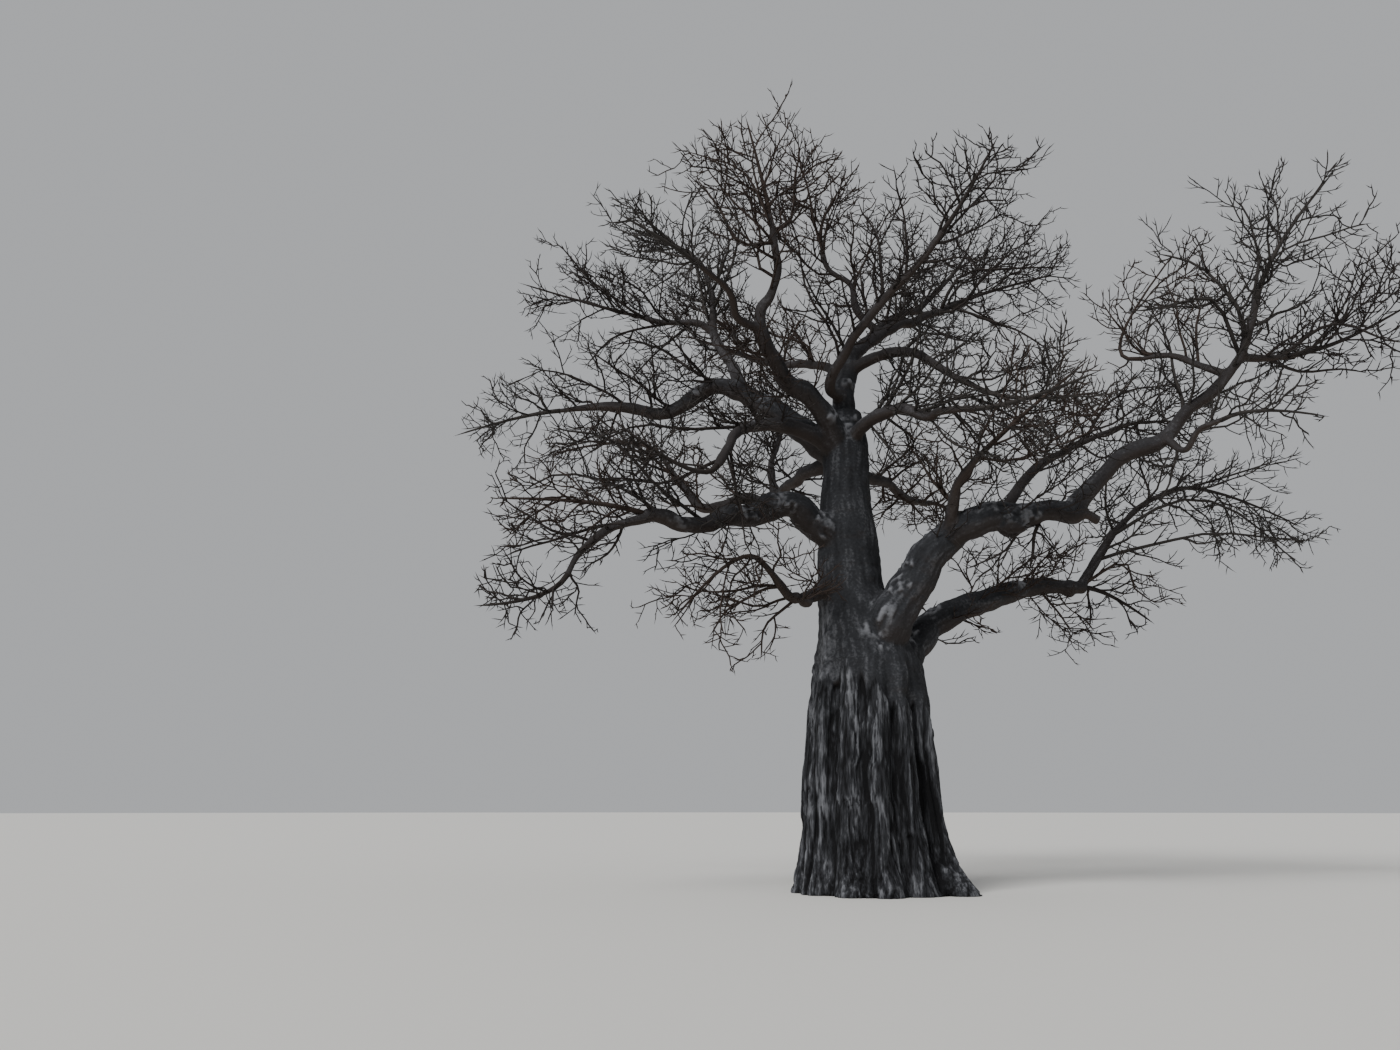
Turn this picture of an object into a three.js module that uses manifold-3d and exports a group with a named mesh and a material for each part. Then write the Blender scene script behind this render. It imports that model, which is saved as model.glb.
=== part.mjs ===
// A bare baobab tree on level ground, in millimetres, +Z up, with its origin at the trunk's foot.
// The crown spreads widest along X. Headings are degrees from +X towards +Y, climbs are degrees up.
import * as THREE from "three";
import { mergeVertices } from "three/addons/utils/BufferGeometryUtils.js";
import Module from "manifold-3d";

const wasm = await Module();
wasm.setup();

// Clearance between pieces that touch, and the spacing within which two corners are one
const GAP = 0.3;
const CORNER_SNAP = 1e-3;

// Trunk: how far the body leans along X, and its radius, at each height
const TRUNK_STATIONS = [
  { height: 0, lean: -60, radius: 1500 },
  { height: 450, lean: -90, radius: 1420 },
  { height: 1200, lean: -110, radius: 1340 },
  { height: 2300, lean: -120, radius: 1270 },
  { height: 3500, lean: -90, radius: 1170 },
  { height: 4500, lean: -70, radius: 1060 },
  { height: 5200, lean: -210, radius: 850 },
  { height: 6000, lean: -340, radius: 690 },
  { height: 6800, lean: -380, radius: 640 },
  { height: 8000, lean: -395, radius: 540 },
  { height: 9200, lean: -370, radius: 470 },
  { height: 10000, lean: -320, radius: 320 },
];
const TRUNK_SIDES = 36;
const TRUNK_RINGS = 15;

// Flutes: upright folds of the lower trunk that fade out under the fork
const FLUTES = 12;
const FLUTE_DEPTH = 75;
const FLUTE_FADE_START = 3600;
const FLUTE_FADE_END = 5400;

// Lobes: broad swellings round the same height, turned a little from the flutes
const LOBES = 5;
const LOBE_DEPTH = 45;
const LOBE_TURN = 1;

// Root toes: heading, extra reach at the ground, half angle, and the height over which each dies away
const TOES = [
  { heading: -32, reach: 520, halfAngle: 17, rise: 620 },
  { heading: 40, reach: 260, halfAngle: 22, rise: 700 },
  { heading: 118, reach: 330, halfAngle: 20, rise: 650 },
  { heading: 190, reach: 170, halfAngle: 24, rise: 600 },
  { heading: 250, reach: 240, halfAngle: 20, rise: 560 },
];

// Limbs in the order in which they grow. The foot is a height on the trunk or a share of the carrier's
// length, girth is the radius at foot and tip, and each leg is [length, heading, climb].
// Twigs, where a limb bears them, fill a space with its own heading, climb, reach, spread and rise.
const LIMBS = [
  {
    name: "right_main",
    carrier: "trunk",
    foot: 3900,
    girth: [490, 190],
    legs: [[1950, -49, 63], [1350, -15, 54], [950, -18, 30], [1900, -11, 4], [550, -6, -22]],
  },
  {
    name: "right_low",
    carrier: "trunk",
    foot: 3900,
    girth: [370, 130],
    legs: [[2000, 16, 43], [1450, 18, 28], [1600, 19, 16], [1250, 19, 2]],
    twigs: { heading: 12, climb: -25, reach: 1900, spread: 1000, rise: 800 },
  },
  {
    name: "left_low",
    carrier: "trunk",
    foot: 6900,
    girth: [330, 120],
    legs: [[1500, -157, 32], [800, -157, -12], [1700, -154, -17], [550, -153, 10], [500, -149, 4]],
    twigs: { heading: -170, climb: 3, reach: 3000, spread: 1500, rise: 1200 },
  },
  {
    name: "left_mid",
    carrier: "trunk",
    foot: 8900,
    girth: [320, 60],
    legs: [
      [1300, 162, 41],
      [1250, 155, 40],
      [1200, 158, 22],
      [1050, 168, -25],
      [600, 170, -1],
      [900, 173, 10],
      [1300, 171, -1],
    ],
    twigs: { heading: 176, climb: -13, reach: 2600, spread: 1600, rise: 1100 },
  },
  {
    name: "left_front",
    carrier: "trunk",
    foot: 9000,
    girth: [260, 140],
    legs: [[1450, -136, 43], [800, -150, 27], [650, -135, 41], [650, -133, 59]],
  },
  {
    name: "leader",
    carrier: "trunk",
    foot: 9400,
    girth: [270, 175],
    legs: [[1150, 94, 85], [1100, 37, 72]],
  },
  {
    name: "left_elbow",
    carrier: "trunk",
    foot: 9100,
    girth: [200, 75],
    legs: [[1350, -149, 11], [1600, -140, -12], [800, -116, -45], [700, -123, -48]],
    twigs: { heading: -150, climb: 15, reach: 2500, spread: 1500, rise: 1200 },
  },
  {
    name: "left_small",
    carrier: "trunk",
    foot: 6400,
    girth: [165, 60],
    legs: [[1550, -144, -28], [600, -137, 18], [700, -136, 36]],
    twigs: { heading: -170, climb: -35, reach: 2300, spread: 1400, rise: 1100 },
  },
  {
    name: "cross_front",
    carrier: "trunk",
    foot: 9200,
    girth: [150, 60],
    legs: [[1050, -63, 17], [850, -58, -4], [900, -59, -27], [450, -65, -1], [1050, -65, -17]],
    twigs: { heading: -62, climb: -6, reach: 3000, spread: 1900, rise: 1400 },
  },
  {
    name: "back_left",
    carrier: "trunk",
    foot: 9000,
    girth: [160, 70],
    legs: [[1800, 118, 0], [1850, 103, 5], [1450, 92, 46], [1550, 73, 47]],
    twigs: { heading: 110, climb: 28, reach: 3000, spread: 2000, rise: 1600 },
  },
  {
    name: "back_low",
    carrier: "trunk",
    foot: 8600,
    girth: [150, 65],
    legs: [[2150, 58, 9], [2050, 60, 2], [1400, 59, 11]],
    twigs: { heading: 60, climb: 3, reach: 3000, spread: 1900, rise: 1400 },
  },
  {
    name: "right_rise",
    carrier: "right_main",
    foot: 0.91,
    girth: [185, 75],
    legs: [
      [1050, -5, 48],
      [800, -18, 34],
      [600, -10, 19],
      [800, -16, 48],
      [750, -14, 37],
      [950, -22, 55],
      [950, -38, 70],
    ],
    twigs: { heading: -14, climb: 56, reach: 3300, spread: 1700, rise: 1400 },
  },
  {
    name: "right_end",
    carrier: "right_rise",
    foot: 0.79,
    girth: [90, 55],
    legs: [[900, 15, 5], [1200, 20, 17]],
    twigs: { heading: 10, climb: 27, reach: 3200, spread: 1900, rise: 1700 },
  },
  {
    name: "right_in",
    carrier: "right_rise",
    foot: 0.72,
    girth: [80, 50],
    legs: [[1150, 146, 33], [650, 142, 9]],
    twigs: { heading: 10, climb: 64, reach: 3300, spread: 1500, rise: 1300 },
  },
  {
    name: "right_under",
    carrier: "right_rise",
    foot: 0.42,
    girth: [90, 50],
    legs: [[700, -69, -42], [500, -70, 34], [500, -55, 9]],
    twigs: { heading: -20, climb: -6, reach: 1800, spread: 1200, rise: 1000 },
  },
  {
    name: "right_back",
    carrier: "right_main",
    foot: 0.71,
    girth: [120, 55],
    legs: [[1800, 38, 45], [1900, 37, 28], [1600, 33, 25]],
    twigs: { heading: 25, climb: 12, reach: 2700, spread: 1600, rise: 1300 },
  },
  {
    name: "right_inner",
    carrier: "right_main",
    foot: 0.54,
    girth: [130, 60],
    legs: [[900, -84, 51], [550, -83, 40], [750, -59, 25]],
    twigs: { heading: -42, climb: 30, reach: 2600, spread: 1600, rise: 1300 },
  },
  {
    name: "right_low_rise",
    carrier: "right_low",
    foot: 0.98,
    girth: [112, 60],
    legs: [[1000, 12, 53], [750, 18, 51], [1000, 19, 40], [950, 21, 28]],
    twigs: { heading: 5, climb: -14, reach: 3600, spread: 1700, rise: 1600 },
  },
  {
    name: "left_low_out",
    carrier: "left_low",
    foot: 0.96,
    girth: [105, 60],
    legs: [[700, -152, -22], [500, -152, -32], [550, -159, -43], [550, -145, -61]],
    twigs: { heading: -168, climb: -20, reach: 1800, spread: 1300, rise: 950 },
  },
  {
    name: "left_low_fork",
    carrier: "left_low",
    foot: 0.34,
    girth: [145, 60],
    legs: [[1000, 148, 20], [1000, 156, -3], [700, 143, 46], [1200, 138, 51]],
    twigs: { heading: 165, climb: 5, reach: 2900, spread: 1700, rise: 1300 },
  },
  {
    name: "left_rise",
    carrier: "left_mid",
    foot: 0.39,
    girth: [140, 60],
    legs: [[1350, 117, 56], [1000, 131, 59], [1200, 96, 70], [1050, 110, 66]],
    twigs: { heading: 168, climb: 34, reach: 3000, spread: 1800, rise: 1400 },
  },
  {
    name: "left_rise_out",
    carrier: "left_rise",
    foot: 0.51,
    girth: [95, 50],
    legs: [[550, 166, 38], [800, 173, 5], [1100, 180, 14]],
    twigs: { heading: 178, climb: 18, reach: 2800, spread: 1700, rise: 1200 },
  },
  {
    name: "top",
    carrier: "left_front",
    foot: 0.97,
    girth: [120, 60],
    legs: [[400, -67, 77], [350, -13, 52], [600, -18, 74], [500, -139, 81], [850, 137, 80]],
    twigs: { heading: 150, climb: 78, reach: 2700, spread: 1700, rise: 1850 },
  },
  {
    name: "top_left",
    carrier: "left_front",
    foot: 0.96,
    girth: [95, 55],
    legs: [[650, -138, 6], [550, -108, 38], [1050, -129, 11]],
    twigs: { heading: -145, climb: 15, reach: 2000, spread: 1500, rise: 1200 },
  },
  {
    name: "leader_right",
    carrier: "leader",
    foot: 0.93,
    girth: [155, 75],
    legs: [[1250, 34, 40], [1300, 38, 29], [1250, 34, 29], [750, 40, 31]],
    twigs: { heading: 14, climb: 22, reach: 3300, spread: 2000, rise: 1500 },
  },
  {
    name: "crook",
    carrier: "leader_right",
    foot: 0.27,
    girth: [90, 55],
    legs: [[850, 169, 51], [700, 129, 79], [750, 169, 45], [650, 139, 77]],
    twigs: { heading: 20, climb: 70, reach: 1900, spread: 1500, rise: 1400 },
  },
  {
    name: "leader_low",
    carrier: "leader",
    foot: 0.73,
    girth: [135, 55],
    legs: [[850, -28, 17], [800, -39, -9], [1050, -49, -42], [1000, -39, -38]],
    twigs: { heading: -25, climb: -10, reach: 2400, spread: 1400, rise: 1100 },
  },
  {
    name: "front_high",
    carrier: "leader",
    foot: 0.43,
    girth: [120, 60],
    legs: [[800, -119, -2], [650, -66, 47], [1400, -37, 45], [1300, -29, 40], [650, -33, 46]],
    twigs: { heading: -38, climb: 52, reach: 2200, spread: 1500, rise: 1200 },
  },
  {
    name: "back_mid",
    carrier: "leader",
    foot: 0.63,
    girth: [135, 65],
    legs: [[1800, 103, 33], [2050, 124, 21], [1900, 122, 29]],
    twigs: { heading: 125, climb: 30, reach: 3000, spread: 2000, rise: 1600 },
  },
  {
    name: "back_right",
    carrier: "leader",
    foot: 0.85,
    girth: [125, 60],
    legs: [[2500, 52, 42], [1950, 46, 31], [1750, 44, 43]],
    twigs: { heading: 60, climb: 40, reach: 2900, spread: 2100, rise: 1800 },
  },
];

// Rings along a limb, and sides round it, by the radius at its foot
const RING_STEP = 700;
const LEAST_RINGS = 3;
const STOUT_FOOT = 250;
const SLIM_FOOT = 125;
const STOUT_SIDES = 10;
const MIDDLE_SIDES = 7;
const SLIM_SIDES = 6;

// Collar: how much a limb swells where it leaves its carrier, and the most of the carrier it may take
const COLLAR_SWELL = 0.35;
const COLLAR_LENGTH = 1.3;
const CARRIER_SHARE = 0.92;

// Twig spaces: how far a space reaches back past its limb's tip, the clearance between two spaces, and
// the clearance between a twig and the limbs and stems it must miss
const SPACE_BACK = 0.12;
const SPACE_MARGIN = 0.05;
const LIMB_CLEARANCE = 30;
const OBSTACLE_STEP = 120;
const FIT_SHARES = [0.25, 0.5, 0.75, 1];

// Stem of a mass: its girth from the limb's, how far it reaches, and how long it keeps the limb's way
const STEM_GIRTH = 0.95;
const STEM_REACH = 0.97;
const STEM_SEGMENTS = 3;
const STEM_LEAD = 0.35;

// Branches from the stem, aimed at points spread over the space from its front to behind its middle
const BRANCHES = 5;
const BRANCH_FRONT = 0.9;
const BRANCH_BACK = -0.42;
const BRANCH_STRAY = 0.6;
const BRANCH_SEGMENTS = 2;
const BRANCH_GIRTH = 0.42;
const BRANCH_FIRST = 0.07;
const BRANCH_LAST = 0.62;
const BRANCH_BOW = 0.16;
const BRANCH_LEAST = 700;
const BRANCH_TRIMS = [0.96, 0.82, 0.68, 0.54, 0.4];

// Side shoots from stem and branches
const BRANCH_SHOOTS = [0.34, 0.66];
const STEM_SHOOTS = [0.74];
const SHOOT_ANGLE = 50;
const SHOOT_ANGLE_RANGE = 20;
const SHOOT_ROLL_RANGE = 1.6;
const SHOOT_SHARE = 0.62;
const SHOOT_TAPER = 0.34;
const SHOOT_LENGTHS = [0.85, 1.25];
const SHOOT_LIFT = 0.12;
const SHOOT_GIRTH = 0.42;
const SHOOT_LEAST = 260;
const SHOOT_TRIMS = [1, 0.8, 0.6, 0.45];

const TWIG_SIDES = 3;
const TWIG_TAPER = 0.3;
const GOLDEN_ANGLE = THREE.MathUtils.degToRad(137.5);
const UP = new THREE.Vector3(0, 0, 1);

const trunkBark = new THREE.MeshStandardMaterial({ color: 0x5b5650, roughness: 0.95, metalness: 0 });
const limbBark = new THREE.MeshStandardMaterial({ color: 0x58504a, roughness: 0.93, metalness: 0 });
const twigBark = new THREE.MeshStandardMaterial({ color: 0x40372f, roughness: 0.9, metalness: 0 });

// Each draw for a twig has its own salt, so that no draw disturbs another
const DRAW = { turn: 1, aim: 2, length: 3, angle: 4, roll: 5 };

// Seeds: that of the first mass, the room that each twig leaves for its own twigs, and the first shoot's
const FIRST_SEED = 11;
const SEED_ROOM = 64;
const SHOOT_SEEDS = 32;

// A share from 0 to 1 that always follows from the same seed and salt
function drawn(seed, salt) {
  let mixed = Math.imul(seed ^ Math.imul(salt, 0x9e3779b1), 0x85ebca6b);
  mixed ^= mixed >>> 13;
  mixed = Math.imul(mixed, 0xc2b2ae35);
  mixed ^= mixed >>> 16;
  return (mixed >>> 0) / 4294967296;
}

function childSeed(seed, index) {
  return (seed * SEED_ROOM + index + 1) >>> 0;
}

function direction(heading, climb) {
  const turn = THREE.MathUtils.degToRad(heading);
  const lift = THREE.MathUtils.degToRad(climb);
  const level = Math.cos(lift);
  return new THREE.Vector3(Math.cos(turn) * level, Math.sin(turn) * level, Math.sin(lift));
}

function toSolid(geometry) {
  geometry.deleteAttribute("normal");
  geometry.deleteAttribute("uv");
  const merged = mergeVertices(geometry, CORNER_SNAP);
  const vertProperties = new Float32Array(merged.attributes.position.array);
  const triVerts = new Uint32Array(merged.index.array);
  return new wasm.Manifold(new wasm.Mesh({ numProp: 3, vertProperties, triVerts }));
}

function toGeometry(solid) {
  const mesh = solid.getMesh();
  const geometry = new THREE.BufferGeometry();
  geometry.setAttribute("position", new THREE.BufferAttribute(mesh.vertProperties, 3));
  geometry.setIndex(new THREE.BufferAttribute(mesh.triVerts, 1));
  geometry.computeVertexNormals();
  return geometry;
}

function largestBody(solid) {
  const bodies = solid.decompose();
  return bodies.reduce((best, body) => (body.volume() > best.volume() ? body : best));
}

// Trunk body at a height: its lean and radius, eased between the stations
function trunkBody(height) {
  const above = TRUNK_STATIONS.findIndex((station) => station.height >= height);
  const upper = TRUNK_STATIONS[Math.max(above, 1)];
  const lower = TRUNK_STATIONS[Math.max(above, 1) - 1];
  const share = (height - lower.height) / (upper.height - lower.height);
  return {
    lean: THREE.MathUtils.lerp(lower.lean, upper.lean, share),
    radius: THREE.MathUtils.lerp(lower.radius, upper.radius, share),
  };
}

function toeReach(angle, height) {
  return TOES.reduce((sum, toe) => {
    const away = angle - THREE.MathUtils.degToRad(toe.heading);
    const turn = Math.atan2(Math.sin(away), Math.cos(away)) / THREE.MathUtils.degToRad(toe.halfAngle);
    return sum + toe.reach * Math.exp(-turn * turn) * Math.exp(-height / toe.rise);
  }, 0);
}

function trunkRadius(angle, height) {
  const fade = 1 - THREE.MathUtils.smoothstep(height, FLUTE_FADE_START, FLUTE_FADE_END);
  const flute = FLUTE_DEPTH * Math.cos(FLUTES * angle) * fade;
  const lobe = LOBE_DEPTH * Math.cos(LOBES * angle + LOBE_TURN) * fade;
  return trunkBody(height).radius + flute + lobe + toeReach(angle, height);
}

// A rim coordinate of a unit cylinder or cone, the same on both sides of the seam
function rimPlace(value) {
  return Math.round(value * 1e6) / 1e6;
}

// The trunk's rings are level, so its foot is a flat cut on the ground
function trunkGeometry(growth) {
  const top = TRUNK_STATIONS.at(-1).height;
  const geometry = new THREE.CylinderGeometry(1, 1, 1, TRUNK_SIDES, TRUNK_RINGS);
  const position = geometry.attributes.position;
  for (let i = 0; i < position.count; i++) {
    const height = (position.getY(i) + 0.5) * top;
    const right = rimPlace(position.getX(i));
    const front = rimPlace(position.getZ(i));
    const angle = Math.atan2(-front, right);
    const onRim = Math.hypot(front, right) > 0.5;
    const radius = onRim ? trunkRadius(angle, height) + growth : 0;
    const lift = height > 0 ? growth : 0;
    const x = trunkBody(height).lean + radius * Math.cos(angle);
    position.setXYZ(i, x, radius * Math.sin(angle), height + lift);
  }
  return geometry;
}

// Deforms a cylinder or cone of unit size along a spine, with a radius at each of its points
function alongSpine(geometry, spine, radii) {
  const last = spine.length - 1;
  const tangents = spine.map((point, k) => {
    return spine[Math.min(k + 1, last)].clone().sub(spine[Math.max(k - 1, 0)]).normalize();
  });
  const across = new THREE.Vector3(1, 0, 0);
  if (Math.abs(tangents[0].x) > 0.8) across.set(0, 1, 0);
  const frames = tangents.map((tangent) => {
    across.addScaledVector(tangent, -across.dot(tangent)).normalize();
    return { normal: across.clone(), binormal: new THREE.Vector3().crossVectors(across, tangent) };
  });
  const position = geometry.attributes.position;
  for (let i = 0; i < position.count; i++) {
    const ring = Math.round((position.getY(i) + 0.5) * last);
    const point = spine[ring].clone();
    point.addScaledVector(frames[ring].normal, rimPlace(position.getX(i)) * radii[ring]);
    point.addScaledVector(frames[ring].binormal, rimPlace(position.getZ(i)) * radii[ring]);
    position.setXYZ(i, point.x, point.y, point.z);
  }
  return geometry;
}

function limbSides(footRadius) {
  if (footRadius >= STOUT_FOOT) return STOUT_SIDES;
  return footRadius >= SLIM_FOOT ? MIDDLE_SIDES : SLIM_SIDES;
}

function limbSpine(start, legs) {
  const corners = [start];
  let length = 0;
  for (const [leg, heading, climb] of legs) {
    corners.push(corners.at(-1).clone().addScaledVector(direction(heading, climb), leg));
    length += leg;
  }
  const curve = new THREE.CatmullRomCurve3(corners, false, "catmullrom", 0.5);
  return curve.getSpacedPoints(Math.max(LEAST_RINGS, Math.round(length / RING_STEP)));
}

// Where a limb starts: a point on its carrier's middle line, with the carrier's radius there
function limbFoot(limb, grown) {
  if (limb.carrier === "trunk") {
    const body = trunkBody(limb.foot);
    return { point: new THREE.Vector3(body.lean, 0, limb.foot), radius: body.radius };
  }
  const { spine, radii } = grown.get(limb.carrier);
  const place = limb.foot * (spine.length - 1);
  const ring = Math.min(Math.floor(place), spine.length - 2);
  const point = spine[ring].clone().lerp(spine[ring + 1], place - ring);
  return { point, radius: THREE.MathUtils.lerp(radii[ring], radii[ring + 1], place - ring) };
}

function limbRadii(limb, spine, carrierRadius) {
  let travelled = 0;
  return spine.map((point, k) => {
    if (k > 0) travelled += point.distanceTo(spine[k - 1]);
    const taper = THREE.MathUtils.lerp(limb.girth[0], limb.girth[1], k / (spine.length - 1));
    const swell = 1 + COLLAR_SWELL * Math.exp(-travelled / (carrierRadius * COLLAR_LENGTH));
    const most = travelled < carrierRadius ? carrierRadius * CARRIER_SHARE : Infinity;
    return Math.min(taper * swell, most);
  });
}

function limbSolid(limb, spine, radii, growth) {
  const ends = spine.map((point) => point.clone());
  const last = spine.length - 1;
  ends[0].addScaledVector(spine[0].clone().sub(spine[1]).normalize(), growth);
  ends[last].addScaledVector(spine[last].clone().sub(spine[last - 1]).normalize(), growth);
  const geometry = new THREE.CylinderGeometry(1, 1, 1, limbSides(limb.girth[0]), last);
  return toSolid(alongSpine(geometry, ends, radii.map((radius) => radius + growth)));
}

// The space that a mass keeps to: an ellipsoid from just behind the limb's tip
function twigSpace(limb, spine) {
  const { heading, climb, reach, spread, rise } = limb.twigs;
  const forward = direction(heading, climb);
  const side = new THREE.Vector3().crossVectors(UP, forward).normalize();
  const over = new THREE.Vector3().crossVectors(forward, side);
  const half = (reach * (1 + SPACE_BACK)) / 2;
  const centre = spine.at(-1).clone().addScaledVector(forward, reach - half);
  return { centre, forward, side, over, half, spread, rise };
}

// 0 at the middle of a space, 1 on its skin
function depthIn(space, point) {
  const away = point.clone().sub(space.centre);
  const along = away.dot(space.forward) / space.half;
  const aside = away.dot(space.side) / space.spread;
  const above = away.dot(space.over) / space.rise;
  return Math.hypot(along, aside, above);
}

function keepsToSpace(mass, point) {
  const own = depthIn(mass.space, point);
  if (own >= 1) return false;
  return masses.every((other) => other === mass || own + SPACE_MARGIN < depthIn(other.space, point));
}

function clearOfLimbs(mass, point, radius) {
  return obstacles.every((obstacle) => {
    if (obstacle.mass === mass) return true;
    return obstacle.point.distanceTo(point) > obstacle.radius + radius + LIMB_CLEARANCE;
  });
}

// A twig is kept if every stretch of it stays in its mass's space and clear of the limbs
function fits(mass, spine, radius) {
  for (let k = 1; k < spine.length; k++) {
    for (const share of FIT_SHARES) {
      const point = spine[k - 1].clone().lerp(spine[k], share);
      if (!keepsToSpace(mass, point)) return false;
      if (!clearOfLimbs(mass, point, radius)) return false;
    }
  }
  return true;
}

// Points of a curve that leaves the start along one way and ends at a goal
function bowed(start, lead, goal, segments) {
  const curve = new THREE.QuadraticBezierCurve3(start, start.clone().add(lead), goal);
  return curve.getPoints(segments);
}

function stemOf(mass) {
  const { space, tip, tipWay, tipRadius } = mass;
  const goal = space.centre.clone().addScaledVector(space.forward, space.half * STEM_REACH);
  const lead = tipWay.clone().multiplyScalar(tip.distanceTo(goal) * STEM_LEAD);
  return twig(bowed(tip, lead, goal, STEM_SEGMENTS), tipRadius * STEM_GIRTH, mass.seed);
}

// A twig thins a little from ring to ring and ends in a point
function twig(spine, radius, seed) {
  const last = spine.length - 1;
  const radii = spine.map((point, k) => (k < last ? radius * (1 - (TWIG_TAPER * k) / last) : 0));
  return { spine, radii, seed };
}

function pointOn({ spine, radii }, share) {
  const place = share * (spine.length - 1);
  const ring = Math.min(Math.floor(place), spine.length - 2);
  const point = spine[ring].clone().lerp(spine[ring + 1], place - ring);
  const way = spine[ring + 1].clone().sub(spine[ring]).normalize();
  return { point, way, radius: THREE.MathUtils.lerp(radii[ring], radii[ring + 1], place - ring) };
}

function lengthOf(spine) {
  return spine.slice(1).reduce((sum, point, k) => sum + point.distanceTo(spine[k]), 0);
}

// Branches fan out from the stem to points spread evenly over the space's skin
function branchesOf(mass, stem) {
  const { space } = mass;
  const found = [];
  for (let k = 0; k < BRANCHES; k++) {
    const seed = childSeed(mass.seed, k);
    const along = THREE.MathUtils.lerp(BRANCH_FRONT, BRANCH_BACK, (k + 0.5) / BRANCHES);
    const start = drawn(mass.seed, DRAW.turn) * Math.PI * 2;
    const turn = start + GOLDEN_ANGLE * k + drawn(seed, DRAW.aim) * BRANCH_STRAY;
    const round = Math.sqrt(1 - along * along);
    const sideways = space.side.clone().multiplyScalar(space.spread * round * Math.cos(turn));
    sideways.addScaledVector(space.over, space.rise * round * Math.sin(turn));
    const skin = space.forward.clone().multiplyScalar(space.half * along).add(sideways);
    const share = THREE.MathUtils.lerp(BRANCH_LAST, BRANCH_FIRST, k / (BRANCHES - 1));
    const { point, way, radius } = pointOn(stem, share);
    for (const trim of BRANCH_TRIMS) {
      const goal = space.centre.clone().addScaledVector(skin, trim);
      const reach = goal.distanceTo(point);
      if (reach < BRANCH_LEAST) break;
      const lead = goal.clone().sub(point).multiplyScalar(0.5).addScaledVector(way, reach * BRANCH_BOW);
      const spine = bowed(point, lead, goal, BRANCH_SEGMENTS);
      if (fits(mass, spine, radius)) {
        found.push(twig(spine, radius * BRANCH_GIRTH, seed));
        break;
      }
    }
  }
  return found;
}

// Side shoots stand out by turns on either side of a branch, shorter towards its tip
function shootsOf(mass, branch, shares) {
  const length = lengthOf(branch.spine);
  const found = [];
  for (const [k, share] of shares.entries()) {
    const seed = childSeed(branch.seed, SHOOT_SEEDS + k);
    const { point, way, radius } = pointOn(branch, share);
    const outward = point.clone().sub(mass.space.centre);
    const across = new THREE.Vector3().crossVectors(way, outward).normalize();
    across.applyAxisAngle(way, (drawn(seed, DRAW.roll) - 0.5) * SHOOT_ROLL_RANGE);
    const side = k % 2 === 0 ? 1 : -1;
    const spread = SHOOT_ANGLE + (drawn(seed, DRAW.angle) - 0.5) * SHOOT_ANGLE_RANGE;
    const angle = THREE.MathUtils.degToRad(spread);
    const heading = way.clone().multiplyScalar(Math.cos(angle));
    heading.addScaledVector(across, side * Math.sin(angle)).addScaledVector(UP, SHOOT_LIFT).normalize();
    const vigour = THREE.MathUtils.lerp(...SHOOT_LENGTHS, drawn(seed, DRAW.length));
    const full = length * (SHOOT_SHARE - SHOOT_TAPER * share) * vigour;
    for (const trim of SHOOT_TRIMS) {
      if (full * trim < SHOOT_LEAST) break;
      const spine = [point, point.clone().addScaledVector(heading, full * trim)];
      if (fits(mass, spine, radius)) {
        found.push(twig(spine, radius * SHOOT_GIRTH, seed));
        break;
      }
    }
  }
  return found;
}

function twigSolid({ spine, radii }) {
  return toSolid(alongSpine(new THREE.ConeGeometry(1, 1, TWIG_SIDES, spine.length - 1), spine, radii));
}

function massSolid(mass) {
  const branches = branchesOf(mass, mass.stem);
  const twigs = [mass.stem, ...branches, ...shootsOf(mass, mass.stem, STEM_SHOOTS)];
  for (const branch of branches) twigs.push(...shootsOf(mass, branch, BRANCH_SHOOTS));
  return largestBody(wasm.Manifold.union(twigs.map(twigSolid)).subtract(standing));
}

// Spines and radii of all limbs, each rooted on its carrier
const grown = new Map();
for (const limb of LIMBS) {
  const foot = limbFoot(limb, grown);
  const spine = limbSpine(foot.point, limb.legs);
  grown.set(limb.name, { spine, radii: limbRadii(limb, spine, foot.radius) });
}

// Masses, one at the tip of each limb that bears twigs
const masses = LIMBS.filter((limb) => limb.twigs).map((limb, index) => {
  const { spine, radii } = grown.get(limb.name);
  const mass = { name: `${limb.name}_twigs`, seed: index + FIRST_SEED, space: twigSpace(limb, spine) };
  mass.tip = spine.at(-1);
  mass.tipWay = spine.at(-1).clone().sub(spine.at(-2)).normalize();
  mass.tipRadius = radii.at(-1);
  return mass;
});

// Middle lines of limbs and stems, which no other twig may touch
const obstacles = [];
function addObstacles(spine, radii, mass) {
  for (let k = 1; k < spine.length; k++) {
    const steps = Math.ceil(spine[k].distanceTo(spine[k - 1]) / OBSTACLE_STEP);
    for (let n = 0; n < steps; n++) {
      const share = n / steps;
      const point = spine[k - 1].clone().lerp(spine[k], share);
      obstacles.push({ point, radius: THREE.MathUtils.lerp(radii[k - 1], radii[k], share), mass });
    }
  }
}
for (const { spine, radii } of grown.values()) addObstacles(spine, radii, null);
for (let height = 0; height < TRUNK_STATIONS.at(-1).height; height += OBSTACLE_STEP) {
  const body = trunkBody(height);
  obstacles.push({ point: new THREE.Vector3(body.lean, 0, height), radius: body.radius, mass: null });
}
for (const mass of masses) {
  mass.stem = stemOf(mass);
  addObstacles(mass.stem.spine, mass.stem.radii, mass);
}

const tree = new THREE.Group();

function addMesh(name, solid, material) {
  const mesh = new THREE.Mesh(toGeometry(solid), material);
  mesh.name = name;
  tree.add(mesh);
}

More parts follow.
